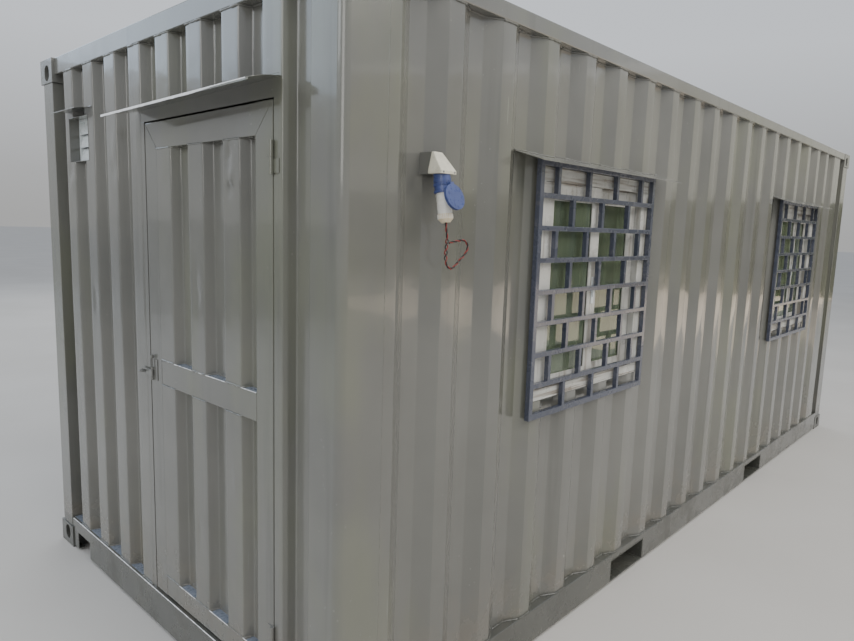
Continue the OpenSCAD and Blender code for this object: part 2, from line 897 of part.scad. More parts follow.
module end_wall_hinge_side() {
    color(enamel)
        end_sheet(-post_inner_y, reveal_y0 - jamb_face, sill_top, end_top_z);
}

// Inner face of the end wall's recesses, which the door frame's tubes stand against
jamb_x = -end_x + end_depth + sheet_t;

// A jamb at the origin reaching to -Y: a face strip flush with the crests, a reveal plate along the
// opening, and a tube behind it that stands past the reveal as the leaf's stop
module jamb() {
    height = reveal_z1 - sill_top;
    translate([-end_x, -jamb_t, sill_top])
        cube([end_depth + sheet_t, jamb_t, height]);
    translate([-end_x, -jamb_face, sill_top])
        cube([jamb_t, jamb_face, height]);
    translate([jamb_x, -jamb_tube + jamb_stop, sill_top])
        difference() {
            cube([jamb_tube, jamb_tube, height]);
            translate([jamb_t, jamb_t, -eps])
                cube([jamb_tube - 2 * jamb_t, jamb_tube - 2 * jamb_t, height + 2 * eps]);
        }
}

module hinge_side_jamb() {
    color(enamel)
        translate([0, reveal_y0, 0])
            jamb();
}

module latch_side_jamb() {
    color(enamel)
        translate([0, reveal_y1, 0])
            mirror([0, 1, 0])
                jamb();
}

// The head is the same section, laid over the door between the outer faces of the jambs
module door_head() {
    head_w = reveal_y1 - reveal_y0;
    color(enamel) {
        translate([-end_x, reveal_y0 - jamb_t, reveal_z1])
            cube([end_depth + sheet_t, head_w + 2 * jamb_t, jamb_t]);
        translate([-end_x, reveal_y0 - jamb_face, reveal_z1])
            cube([jamb_t, head_w + 2 * jamb_face, head_face]);
        translate([jamb_x + jamb_tube, reveal_y0 - jamb_tube + jamb_stop, reveal_z1])
            rotate([0, 0, 90])
                tube(head_w + 2 * (jamb_tube - jamb_stop), jamb_tube, jamb_tube, jamb_t);
    }
}

leaf_in_y0 = leaf_y0 + stile_w;
leaf_in_y1 = leaf_y1 - stile_w;
leaf_low = [leaf_z0 + leaf_bottom_rail, leaf_z0 + leaf_mid_z];
leaf_high = [leaf_z0 + leaf_mid_z + leaf_mid_rail, leaf_z1 - leaf_top_rail];
leaf_centres = [for (i = [2:-1:0]) leaf_y1 - leaf_recess_first - i * end_pitch];
leaf_floor = end_pitch - end_crest - 2 * end_slope;

module leaf_opening(z) {
    translate([leaf_x - eps, leaf_in_y0, z[0]])
        cube([leaf_depth + 2 * eps, leaf_in_y1 - leaf_in_y0, z[1] - z[0]]);
}

module door_leaf_frame() {
    color(enamel)
        difference() {
            translate([leaf_x, leaf_y0, leaf_z0])
                cube([leaf_depth, door_w, door_h]);
            leaf_opening(leaf_low);
            leaf_opening(leaf_high);
            leaf_hollow(leaf_y0, leaf_z0 - eps, stile_w, door_h + 2 * eps);
            leaf_hollow(leaf_y1 - stile_w, leaf_z0 - eps, stile_w, door_h + 2 * eps);
            for (z = [[leaf_z0, leaf_low[0]], [leaf_low[1], leaf_high[0]], [leaf_high[1], leaf_z1]])
                leaf_hollow(leaf_in_y0 - 3 * leaf_t, z[0] + leaf_t, leaf_in_y1 - leaf_in_y0 + 6 * leaf_t,
                    z[1] - z[0] - 2 * leaf_t);
        }
}

// The hollow inside one member of the leaf's frame
module leaf_hollow(y, z, w, h) {
    translate([leaf_x + leaf_t, y + leaf_t, z])
        cube([leaf_depth - 2 * leaf_t, w - 2 * leaf_t, h]);
}

// A corrugated panel that fills one opening of the leaf; its crests are flush with the frame
module leaf_panel(z) {
    translate([leaf_x, 0, z[0]])
        linear_extrude(z[1] - z[0])
            intersection() {
                polygon(swapped(corrugated(leaf_in_y0 - end_pitch, leaf_in_y1 + end_pitch, leaf_centres,
                    leaf_floor / 2, end_slope, 0, leaf_depth - leaf_t - sheet_t, sheet_t)));
                translate([0, leaf_in_y0])
                    square([leaf_depth, leaf_in_y1 - leaf_in_y0]);
            }
}

module door_leaf_panels() {
    color(enamel) {
        leaf_panel(leaf_low);
        leaf_panel(leaf_high);
    }
}

hinge_z = [leaf_z0 + hinge_up, leaf_z1 - hinge_down];
half_hinge = (hinge_l - hinge_split) / 2;

// Upper halves with their bores, welded to the leaf
module door_hinge_halves() {
    color(enamel)
        for (z = hinge_z)
            translate([hinge_x, hinge_y, z + hinge_split / 2])
                difference() {
                    union() {
                        cylinder(r = barrel_r, h = half_hinge);
                        translate([barrel_r - strap_t, 1, 4])
                            cube([strap_t, strap_w, half_hinge - 8]);
                    }
                    translate([0, 0, -eps])
                        cylinder(r = pin_r + pin_clear, h = half_hinge - 6);
                }
}

// Lower halves with their pins, welded to the wall beside the door
module frame_hinge_halves() {
    color(enamel)
        for (z = hinge_z)
            translate([hinge_x, hinge_y, z - hinge_split / 2 - half_hinge]) {
                cylinder(r = barrel_r, h = half_hinge);
                cylinder(r = pin_r, h = hinge_l - 10);
                translate([barrel_r - strap_t, -1 - strap_w, 4])
                    cube([strap_t, strap_w, half_hinge - 8]);
            }
}

hasp_x = leaf_x - hasp_off;
hasp_y = leaf_y1 - hasp_in;
knuckle_gap = 0.5;

// Plate on the leaf with a knuckle over and under the strap's, and the pin through all three, which
// runs up to a knob
module hasp_plate() {
    color(enamel) {
        translate([leaf_x - hasp_t, hasp_y - hasp_r - hasp_plate_w, hasp_z - hasp_h])
            cube([hasp_t, hasp_plate_w + hasp_r, hasp_plate_h]);
        for (z = [hasp_z - hasp_h, hasp_z + hasp_h / 2 + knuckle_gap])
            translate([hasp_x, hasp_y, z]) {
                cylinder(r = hasp_r, h = hasp_h / 2 - knuckle_gap);
                translate([0, -hasp_r, 0])
                    cube([hasp_off - hasp_t, hasp_r, hasp_h / 2 - knuckle_gap]);
            }
        translate([hasp_x, hasp_y, hasp_z - hasp_h])
            cylinder(r = hasp_pin_r, h = hasp_h + knob_up);
        translate([hasp_x, hasp_y, hasp_z + knob_up])
            cylinder(r = knob_r, h = 2 * knob_r);
    }
}

// Strap that swings on the pin and closes over the staple
module hasp_strap() {
    color(enamel)
        translate([hasp_x, hasp_y, hasp_z - hasp_h / 2])
            difference() {
                union() {
                    cylinder(r = hasp_r, h = hasp_h);
                    translate([-hasp_t / 2, 0, 0])
                        cube([hasp_t, hasp_reach, hasp_h]);
                }
                translate([0, 0, -eps])
                    cylinder(r = hasp_pin_r + pin_clear, h = hasp_h + 2 * eps);
                translate([-hasp_t, hasp_slot_at - hasp_slot_l / 2, (hasp_h - hasp_slot_h) / 2])
                    cube([2 * hasp_t, hasp_slot_l, hasp_slot_h]);
            }
}

// A rod bent to a U, welded to the wall's crest beside the door
module hasp_staple() {
    color(enamel)
        translate([leaf_x, hasp_y + hasp_slot_at, hasp_z]) {
            for (s = [-1, 1])
                translate([-staple_reach + staple_w / 2, s * staple_w / 2, 0])
                    rotate([0, 90, 0])
                        cylinder(r = staple_r, h = staple_reach - staple_w / 2);
            translate([-staple_reach + staple_w / 2, 0, 0])
                rotate([0, 0, 90])
                    rotate_extrude(angle = 180)
                        translate([staple_w / 2, 0])
                            circle(staple_r);
        }
}

// A plate that slopes down from its root on a wall, with a lip along the outer edge. The outline
// is [out, up] from the root, and runs on behind it by the tail.
module sloped_outline(reach, slope, t, lip, tail) {
    drop = reach * tan(slope);
    rise = tail * tan(slope);
    polygon([[-tail, rise], [reach, -drop], [reach, -drop - lip], [reach - t, -drop - lip],
        [reach - t, -drop - t + t * tan(slope)], [-tail, rise - t]]);
}

canopy_z = container_h - canopy_drop;

// The canopy sits askew on the door frame's head: its hinge side is a little higher and nearer the wall
module canopy() {
    color(enamel)
        difference() {
            translate([-end_x, canopy_y, canopy_z])
                rotate([-canopy_rise, 0, canopy_turn])
                    difference() {
                        rotate([90, 0, 0])
                            linear_extrude(canopy_l)
                                mirror([1, 0])
                                    sloped_outline(canopy_reach, canopy_slope, canopy_t, canopy_lip,
                                        canopy_l * sin(canopy_turn) + eps);
                        translate([-canopy_reach, -canopy_l, -canopy_reach])
                            linear_extrude(2 * canopy_reach) {
                                splayed_end(2 * canopy_reach);
                                splayed_corner(canopy_corner);
                            }
                    }
            translate([-end_x, -half_w, 0])
                cube([half_l, container_w, container_h]);
        }
}

// What lies beyond the canopy's slanted end, seen from over its outer corner
module splayed_end(r) {
    polygon([[-r, -r * tan(canopy_splay)], [r, r * tan(canopy_splay)], [r, -r], [-r, -r]]);
}

// What the rounding of that corner leaves over
module splayed_corner(r) {
    run = r / tan((90 - canopy_splay) / 2);
    difference() {
        polygon([[-eps, -eps], [-eps, run], [r, run],
            [run * cos(canopy_splay), run * sin(canopy_splay)]]);
        translate([r, run])
            circle(r = r, $fn = 96);
    }
}

module vent_sleeve() {
    color(enamel)
        translate([-end_x, vent_y, vent_z])
            difference() {
                cube([vent_sleeve_d, vent_w, vent_h]);
                translate([-eps, vent_sleeve_t, vent_sleeve_t])
                    cube([vent_sleeve_d + 2 * eps, vent_w - 2 * vent_sleeve_t, vent_h - 2 * vent_sleeve_t]);
            }
}

louvre_w = vent_w - 2 * vent_sleeve_t;
louvre_h = vent_h - 2 * vent_sleeve_t;
blade_pitch = (louvre_h - 2 * vent_border) / vent_blades;

module vent_louvre() {
    color("#dfe4e4")
        translate([-end_x + vent_sleeve_d - vent_louvre_t, vent_y + vent_sleeve_t, vent_z + vent_sleeve_t]) {
            difference() {
                cube([vent_louvre_t, louvre_w, louvre_h]);
                translate([-eps, vent_border, vent_border])
                    cube([vent_louvre_t + 2 * eps, louvre_w - 2 * vent_border, louvre_h - 2 * vent_border]);
            }
            // Blades lean out at the bottom, and each covers the gap under the one above
            for (i = [0:vent_blades - 1])
                translate([0, louvre_w - vent_border + eps, vent_border + i * blade_pitch])
                    rotate([90, 0, 0])
                        linear_extrude(louvre_w - 2 * vent_border + 2 * eps)
                            polygon([[0, 0], [vent_blade_t, 0], [vent_louvre_t, blade_pitch],
                                [vent_louvre_t - vent_blade_t, blade_pitch]]);
        }
}

module vent_hood() {
    root_z = vent_z + vent_h + vent_hood_up;
    color(enamel)
        difference() {
            translate([-end_x, vent_y - vent_hood_past + vent_hood_l, root_z])
                rotate([90, 0, 0])
                    linear_extrude(vent_hood_l)
                        mirror([1, 0])
                            sloped_outline(vent_hood_reach, vent_hood_slope, sheet_t, 2 * sheet_t,
                                end_depth + eps);
            behind_end_wall(root_z - end_depth, root_z + end_depth);
        }
}

module bar_grille(x) {
    bay = (grille_w - grille_frame) / grille_bays;
    row = (grille_h - grille_frame) / grille_rows;
    frame_mid = grille_frame / 2;
    translate([x, -side_y - grille_depth, grille_z]) {
        difference() {
            cube([grille_w, grille_depth, grille_h]);
            translate([grille_frame, -eps, grille_frame])
                cube([grille_w - 2 * grille_frame, grille_depth + 2 * eps, grille_h - 2 * grille_frame]);
        }
        for (i = [1:grille_rows - 1])
            translate([grille_frame - eps, 0, frame_mid + i * row - grille_bar / 2])
                cube([grille_w - 2 * grille_frame + 2 * eps, grille_bar, grille_bar]);
        for (i = [0:grille_rows - 1], j = [1:grille_bays - 1])
            if ((i + j) % 2 == 0)
                translate([frame_mid + j * bay - grille_bar / 2, 0, frame_mid + i * row])
                    cube([grille_bar, grille_bar, row]);
    }
}

module window_1_grille() {
    color(grille_blue)
        bar_grille(window_x[0]);
}

module window_2_grille() {
    color(grille_blue)
        bar_grille(window_x[1]);
}

module window_hoods() {
    root_z = grille_z + grille_h + hood_up;
    color(enamel)
        difference() {
            for (x = window_x)
                translate([x - hood_past, -side_y, root_z])
                    rotate([90, 0, 90])
                        linear_extrude(grille_w + 2 * hood_past)
                            mirror([1, 0])
                                sloped_outline(hood_reach, hood_slope, hood_t, hood_t, side_depth + eps);
            behind_side_wall(root_z - side_depth, root_z + side_depth);
        }
}

// A rectangular ring with its lower left outer corner at the origin, facing -Y; foot is its lower bar
module ring(w, h, face, depth, foot = undef) {
    low = is_undef(foot) ? face : foot;
    difference() {
        cube([w, depth, h]);
        translate([face, -eps, low])
            cube([w - 2 * face, depth + 2 * eps, h - face - low]);
    }
}

// Steel lining of a window hole; the wall's corrugation is welded to its outer faces
module window_subframes() {
    color(enamel)
        for (x = window_x)
            translate([x + hole_lap, -side_y, hole_z])
                ring(hole_w, hole_h, sub_t, sub_depth);
}

upvc_w = hole_w - 2 * sub_t;
upvc_h = hole_h - 2 * sub_t;
upvc_y = -side_y + sub_depth - upvc_depth;

module window_frames() {
    color("#eceeea")
        for (x = window_x)
            translate([x + hole_lap + sub_t, upvc_y, hole_z + sub_t])
                ring(upvc_w, upvc_h, upvc_frame, upvc_depth, upvc_sill);
}

sash_w = (upvc_w - 2 * upvc_frame + sash_lap) / 2 - sash_clear;
sash_h = upvc_h - upvc_frame - upvc_sill - 2 * sash_clear;
sash_gap = (upvc_depth - 2 * sash_depth) / 3;

// Places of the two sashes of a window: [x, y] of each one's lower left outer corner
function sash_places(x) = [
    [x + hole_lap + sub_t + upvc_frame + sash_clear, upvc_y + sash_gap],
    [x + hole_lap + sub_t + upvc_w - upvc_frame - sash_clear - sash_w, upvc_y + 2 * sash_gap + sash_depth]];

sash_z = hole_z + sub_t + upvc_sill;

module window_sashes() {
    color("#eceeea")
        for (x = window_x, p = sash_places(x))
            translate([p[0], p[1], sash_z])
                difference() {
                    ring(sash_w, sash_h, sash_frame, sash_depth, sash_foot);
                    translate([sash_frame - glass_bite, (sash_depth - glass_t) / 2, sash_foot - glass_bite])
                        cube([sash_w - 2 * (sash_frame - glass_bite), glass_t,
                            sash_h - sash_frame - sash_foot + 2 * glass_bite]);
                }
}

module window_glass() {
    edge = sash_frame - glass_bite;
    color("#9fb3a8")
        for (x = window_x, p = sash_places(x))
            translate([p[0] + edge, p[1] + (sash_depth - glass_t) / 2, sash_z + sash_foot - glass_bite])
                cube([sash_w - 2 * edge, glass_t, sash_h - sash_frame - sash_foot + 2 * glass_bite]);
}

inlet_x = -half_l + inlet_from_end;
inlet_y = -side_y - inlet_off;
bracket_y = -side_y - bracket_reach;

inlet_z = container_h - inlet_drop;
collar_z = inlet_z - inlet_h;

// Steel box between the wall's recess and the inlet, cut to the wall's corrugation
module inlet_bracket() {
    color(enamel)
        difference() {
            translate([inlet_x - bracket_w / 2, bracket_y, collar_z])
                cube([bracket_w, side_depth + bracket_reach + eps, inlet_h]);
            behind_side_wall(collar_z - eps, inlet_z + eps);
        }
}

// Housing on the bracket's face: narrow at its top and wider and deeper towards its foot
module inlet_housing() {
    reach = inlet_off - bracket_reach + collar_r + 4;
    foot = inlet_h * 0.14;
    color("#dcdccf")
        translate([inlet_x, bracket_y, collar_z])
            intersection() {
                translate([-inlet_w / 2, 0, 0])
                    rotate([90, 0, 90])
                        linear_extrude(inlet_w)
                            mirror([1, 0])
                                polygon([[0, 0], [reach, 0], [reach, foot], [reach * 0.16, inlet_h],
                                    [0, inlet_h]]);
                translate([0, eps, 0])
                    rotate([90, 0, 0])
                        linear_extrude(reach + 2 * eps)
                            polygon([[-inlet_w / 2, 0], [inlet_w / 2, 0], [inlet_w / 2, foot],
                                [inlet_top_w / 2, inlet_h], [-inlet_top_w / 2, inlet_h],
                                [-inlet_w / 2, foot]]);
            }
}

// Places a child that is drawn from the origin downwards on the inlet's leaning axis
module on_inlet_axis() {
    translate([inlet_x, inlet_y, collar_z])
        rotate([-inlet_lean, 0, 0])
            children();
}

module inlet_collar() {
    tilt = collar_r * sin(inlet_lean) + eps;
    color("#3156a3")
        difference() {
            on_inlet_axis()
                difference() {
                    union() {
                        translate([0, 0, -collar_l])
                            cylinder(r = collar_r, h = collar_l + tilt);
                        for (z = [-collar_l, -collar_l * 0.42])
                            translate([0, 0, z])
                                cylinder(r = collar_r + 1.5, h = collar_l * 0.16);
                    }
                    translate([0, 0, -collar_l - eps])
                        cylinder(r = collar_r - 3, h = collar_l - 6);
                }
            translate([inlet_x - 2 * collar_r, inlet_y - 2 * collar_r, collar_z])
                cube(4 * collar_r);
        }
}

module inlet_plug() {
    color("#ecebe4")
        on_inlet_axis()
            translate([0, 0, -collar_l - plug_l]) {
                cylinder(r1 = gland_r - 1, r2 = plug_r, h = plug_l * 0.35);
                translate([0, 0, plug_l * 0.35])
                    cylinder(r = plug_r, h = plug_l * 0.65);
                translate([0, 0, plug_l - eps])
                    cylinder(r = collar_r - 3.5, h = collar_l - 10);
            }
}

gland_z = -collar_l - plug_l - gland_l;
wire_bore = 8;

module gland_nut() {
    color("#d8cfae")
        on_inlet_axis()
            translate([0, 0, gland_z])
                difference() {
                    union() {
                        cylinder(r1 = gland_r * 0.6, r2 = gland_r, h = gland_l * 0.4);
                        translate([0, 0, gland_l * 0.4])
                            cylinder(r = gland_r, h = gland_l * 0.6);
                    }
                    translate([0, 0, -eps])
                        cylinder(r = wire_r + 2, h = wire_bore + eps);
                }
}

// The lid hangs open in front of the plug on a block at the collar
module inlet_lid() {
    color("#3156a3")
        on_inlet_axis()
            translate([0, -collar_r - lid_t, -collar_l * 0.63])
                rotate([-lid_lean, 0, 0]) {
                    translate([0, lid_t / 2, -lid_r])
                        rotate([90, 0, 0])
                            cylinder(r = lid_r, h = lid_t);
                    translate([-8, -lid_t / 2, -5])
                        cube([16, 1.45 * lid_t, 12]);
                }
}

// The wires' route from the gland down, round a loop and back to the hanging stretch
wire_route = [[0, 0], [2, -14], [5, -28], [8, -42], [9, -56], [8, -70], [6, -84], [5, -98], [5, -112],
    [7, -126], [13, -138], [24, -145], [36, -146], [48, -140], [58, -132], [70, -123], [82, -114],
    [94, -105], [104, -96], [111, -85], [112, -73], [106, -63], [95, -57], [82, -55], [68, -56],
    [54, -58], [40, -60], [29, -62], [20, -64]];
wire_top = collar_z + gland_z * cos(inlet_lean);
wire_y = inlet_y + gland_z * sin(inlet_lean);
wire_points = concat(
    [[inlet_x, wire_y + wire_bore * sin(inlet_lean), wire_top + wire_bore * cos(inlet_lean)]],
    [for (p = wire_route) [inlet_x + p[0], wire_y, wire_top + p[1]]]);

function unit(v) = v / norm(v);

// Rings of points round a route that stays close to one upright plane
function tube_rings(points, r, sides) = [for (i = [0:len(points) - 1])
    let (a = points[max(i - 1, 0)], b = points[min(i + 1, len(points) - 1)])
    let (t = unit(b - a), side = unit(cross(t, [0, 1, 0])), out = cross(side, t))
    for (k = [0:sides - 1])
        points[i] + r * (cos(360 * k / sides) * out + sin(360 * k / sides) * side)];

module swept_tube(points, r, sides) {
    last = len(points) - 1;
    polyhedron(tube_rings(points, r, sides), concat(
        [[for (k = [0:sides - 1]) k]],
        [for (i = [0:last - 1], k = [0:sides - 1])
            let (n = (k + 1) % sides)
            [i * sides + k, (i + 1) * sides + k, (i + 1) * sides + n, i * sides + n]],
        [[for (k = [sides - 1:-1:0]) last * sides + k]]));
}

module inlet_wires() {
    color("#a03030")
        swept_tube(wire_points, wire_r, 8);
}

cargo_z0 = sill_top + cargo_gap;
cargo_z1 = header_z - cargo_gap;
cargo_h = cargo_z1 - cargo_z0;
cargo_w = cargo_inner_y - 1.5 * cargo_gap;
cargo_bay = (cargo_w - 2 * cargo_frame) / cargo_ribs;
cargo_centres = [for (i = [0:cargo_ribs - 1]) cargo_gap / 2 + cargo_frame + cargo_bay * (i + 0.5)];

// A closed cargo door on the +Y side: a frame of hollow section round a pressed panel
module cargo_door() {
    y0 = cargo_gap / 2;
    color(enamel)
        translate([cargo_x - cargo_depth, 0, cargo_z0]) {
            difference() {
                translate([0, y0, 0])
                    cube([cargo_depth, cargo_w, cargo_h]);
                translate([-eps, y0 + cargo_frame, cargo_frame])
                    cube([cargo_depth + 2 * eps, cargo_w - 2 * cargo_frame, cargo_h - 2 * cargo_frame]);
                for (y = [y0, y0 + cargo_w - cargo_frame])
                    translate([cargo_t, y + cargo_t, -eps])
                        cube([cargo_depth - 2 * cargo_t, cargo_frame - 2 * cargo_t, cargo_h + 2 * eps]);
                for (z = [0, cargo_h - cargo_frame])
                    translate([cargo_t, y0 + cargo_frame / 2, z + cargo_t])
                        cube([cargo_depth - 2 * cargo_t, cargo_w - cargo_frame, cargo_frame - 2 * cargo_t]);
            }
            translate([cargo_depth, 0, cargo_frame])
                linear_extrude(cargo_h - 2 * cargo_frame)
                    mirror([1, 0])
                        polygon(swapped(corrugated(y0 + cargo_frame, y0 + cargo_w - cargo_frame,
                            cargo_centres, cargo_bay / 2 - cargo_flat - cargo_slope, cargo_slope, 0,
                            cargo_recess, sheet_t)));
        }
}

module cargo_door_left() {
    mirror([0, 1, 0])
        cargo_door();
}

module cargo_door_right() {
    cargo_door();
}

bar_y = [bar_first, inner_y - bar_last];
bar_z0 = sill_top - bar_reach;
bar_z1 = header_z + bar_reach;

// Clearance of the cams from the sill and the header
cam_gap = 6;

// Upright bars with the brackets that hold them on the doors and the cams at their ends
module locking_bars() {
    color("#8b8e8b")
        for (s = [-1, 1], y = bar_y)
            translate([cargo_x, s * y, 0]) {
                translate([bar_off, 0, bar_z0])
                    cylinder(r = bar_r, h = bar_z1 - bar_z0);
                for (z = [cargo_z0 + bracket_from_end, cargo_z0 + cargo_h / 2,
                    cargo_z1 - bracket_from_end])
                    translate([0, -bracket_l / 2, z - bracket_h / 2])
                        cube([bar_off, bracket_l, bracket_h]);
                for (z = [bar_z0, bar_z1 - cam_h])
                    translate([cam_gap, -cam_w / 2, z])
                        cube([bar_off + cam_gap, cam_w, cam_h]);
            }
}

// Jaws on the sill and the header that the cams turn into
module bar_keepers() {
    back = cam_gap - 2;
    color(enamel)
        for (s = [-1, 1], y = bar_y, z = [bar_z0 + cam_h / 2, bar_z1 - cam_h / 2])
            translate([cargo_x, s * y - keeper_w / 2, z - keeper_h / 2])
                difference() {
                    cube([bar_off + back, keeper_w, keeper_h]);
                    translate([back, (keeper_w - keeper_gap) / 2, -eps])
                        cube([bar_off + 2 * eps, keeper_gap, keeper_h + 2 * eps]);
                }
}

// Hinge knuckles in the corners between the cargo doors and their posts, with their lugs
module cargo_hinges() {
    inset = cargo_knuckle_r + 2;
    run = cargo_h - 2 * cargo_hinge_from_end - cargo_knuckle_l;
    lug_h = cargo_knuckle_l * 0.6;
    color(enamel)
        for (s = [0, 1], i = [0:cargo_hinge_count - 1])
            mirror([0, s, 0])
                translate([cargo_x, cargo_inner_y - inset,
                    cargo_z0 + cargo_hinge_from_end + i * run / (cargo_hinge_count - 1)]) {
                    translate([inset + 2, 0, 0])
                        cylinder(r = cargo_knuckle_r, h = cargo_knuckle_l);
                    translate([inset - 4, 0, cargo_knuckle_l * 0.2])
                        cube([cargo_knuckle_r, inset, lug_h]);
                    translate([0, -cargo_blade_l, cargo_knuckle_l * 0.2])
                        cube([cargo_blade_t, cargo_blade_l, lug_h]);
                }
}

bottom_castings();
top_castings();
door_end_posts();
cargo_end_posts();
bottom_side_rails();
top_side_rails();
door_end_top_rail();
door_end_sill();
cargo_header();
cargo_sill();
cross_members();
fork_pockets();
floor_sheets();
roof_sheet();
roof_end_plates();
window_wall_panels();
window_wall_infills();
back_wall();
end_wall_vent_side();
end_wall_over_door();
end_wall_hinge_side();
hinge_side_jamb();
latch_side_jamb();
door_head();
door_leaf_frame();
door_leaf_panels();
door_hinge_halves();
frame_hinge_halves();
hasp_plate();
hasp_strap();
hasp_staple();
canopy();
vent_sleeve();
vent_louvre();
vent_hood();
window_1_grille();
window_2_grille();
window_hoods();
window_subframes();
window_frames();
window_sashes();
window_glass();
inlet_bracket();
inlet_housing();
inlet_collar();
inlet_lid();
inlet_plug();
gland_nut();
inlet_wires();
cargo_door_left();
cargo_door_right();
locking_bars();
bar_keepers();
cargo_hinges();
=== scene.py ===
import math

import bmesh
import bpy
from mathutils import Matrix, Vector, noise


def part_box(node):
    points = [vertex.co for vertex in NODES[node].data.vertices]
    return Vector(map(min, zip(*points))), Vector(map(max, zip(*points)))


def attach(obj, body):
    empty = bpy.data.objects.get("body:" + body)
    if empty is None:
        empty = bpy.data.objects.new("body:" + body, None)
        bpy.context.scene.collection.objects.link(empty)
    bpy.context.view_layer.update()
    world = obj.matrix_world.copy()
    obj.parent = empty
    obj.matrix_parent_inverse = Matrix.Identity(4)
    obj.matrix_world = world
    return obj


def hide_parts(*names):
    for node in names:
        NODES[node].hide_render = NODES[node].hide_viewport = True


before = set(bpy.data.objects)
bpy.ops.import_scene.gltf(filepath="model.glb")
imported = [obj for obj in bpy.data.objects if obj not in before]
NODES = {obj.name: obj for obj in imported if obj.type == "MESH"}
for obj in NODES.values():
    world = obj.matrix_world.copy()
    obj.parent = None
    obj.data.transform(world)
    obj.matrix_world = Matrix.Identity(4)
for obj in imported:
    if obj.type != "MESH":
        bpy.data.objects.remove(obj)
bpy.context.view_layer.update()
scene = bpy.context.scene

# Camera, as the photograph's

cam_data = bpy.data.cameras.new("camera")
cam_data.sensor_fit = "HORIZONTAL"
cam_data.sensor_width = 36.0
cam_data.lens = 27.84
cam_data.clip_start = 0.05
cam_data.clip_end = 300.0
# Place and turn fitted to the corners, rails and fork pockets in the photograph
CAMERA_AT = (-4.2330, -2.6846, 1.8056)
PAN, TILT, ROLL = -0.8199, -0.1392, -0.0308
camera = bpy.data.objects.new("camera", cam_data)
scene.collection.objects.link(camera)
turn = Matrix.Rotation(PAN, 3, "Z") @ Matrix.Rotation(TILT, 3, "X") @ Matrix.Rotation(ROLL, 3, "Y")
axes = Matrix([turn @ Vector(v) for v in ((1, 0, 0), (0, 0, 1), (0, -1, 0))]).transposed()
camera.matrix_world = Matrix.Translation(CAMERA_AT) @ axes.to_4x4()
scene.camera = camera

# Sizes taken from the part, in metres

# Where sheets meet the castings and posts, and the outer planes of the side and end sheets
INNER_X, POST_IN_Y, INNER_Y = 2.851, 1.067, 1.057
SIDE_Y, END_X = 1.210, 3.012
# Lower edges of the end and side sheets, then upper edges of the side and end sheets
SILL_TOP, RAIL_TOP, TOP_RAIL_Z, END_TOP_Z = 0.170, 0.162, 2.531, 2.511
# Underside of the top castings, and where the beads beside the posts end
CASTING_Z, BEAD_TOP = 2.473, 2.470
SHEET = 0.002
# Side recesses: number, flat beside a post, outer flats, flanks, depth and the last one's shift
RECESSES, SIDE_FLAT, SIDE_CREST, SIDE_SLOPE, SIDE_DEPTH = 20, 0.050, 0.072, 0.068, 0.036
LAST_SHIFT = 0.131
SIDE_PITCH = (2 * (INNER_X - SIDE_FLAT) + SIDE_CREST) / RECESSES
SIDE_FLOOR = SIDE_PITCH - SIDE_CREST - 2 * SIDE_SLOPE
SIDE_CENTRES = [-(INNER_X - SIDE_FLAT) + SIDE_SLOPE + SIDE_FLOOR / 2 + i * SIDE_PITCH
                + (LAST_SHIFT if i == RECESSES - 1 else 0.0) for i in range(RECESSES)]
# End wall: pitch, shift to one side, half width of the outer flats, flanks and depth
END_PITCH, END_SHIFT, END_HALF, END_SLOPE, END_DEPTH = 0.250, 0.022, 0.054, 0.018, 0.046
END_CENTRES = [(i - 3.5) * END_PITCH + END_SHIFT for i in range(8)]
STILE = 0.100
LEAF_Y0, LEAF_Y1, LEAF_Z0, LEAF_Z1 = -0.855, 0.058, 0.178, 2.190
LEAF_IN_Y0, LEAF_IN_Y1 = LEAF_Y0 + STILE, LEAF_Y1 - STILE
LEAF_LOW, LEAF_HIGH = (0.268, 1.124), (1.228, 2.086)
# Recesses of the leaf's panels: from its edge to the first one's middle, half width, flanks, depth
LEAF_FIRST, LEAF_HALF, LEAF_SLOPE, LEAF_DEPTH = 0.286, 0.053, 0.018, 0.0375
LEAF_CENTRES = [LEAF_Y1 - LEAF_FIRST - i * END_PITCH for i in (2, 1, 0)]
# Outer edges of the door's jambs, 30 mm outside the doorway, and the top of its head
JAMB_Y0, JAMB_Y1, HEAD_TOP = -0.861 - 0.030, 0.064 + 0.030, 2.266
# Left edges of the grilles, and the holes behind them
WINDOWS = [-2.060, 1.064]
HOLE_LAP, HOLE_W, HOLE_H, HOLE_Z = 0.025, 0.950, 0.950, 1.110
# The vent's hole: y and z ranges
VENT = (0.660, 0.900, 2.072, 2.282)
# The inlet's axis leans out from the wall on its way down
INLET = Vector((-2.650, -1.252, 1.975))
LEAN = math.radians(9.0)
DOWN = Vector((0.0, -math.sin(LEAN), -math.cos(LEAN)))

# Materials


def set_ramp(ramp, stops):
    while len(ramp.elements) < len(stops):
        ramp.elements.new(0.5)
    for e, (at, c) in zip(ramp.elements, stops):
        e.position = at
        e.color = (*c, 1)


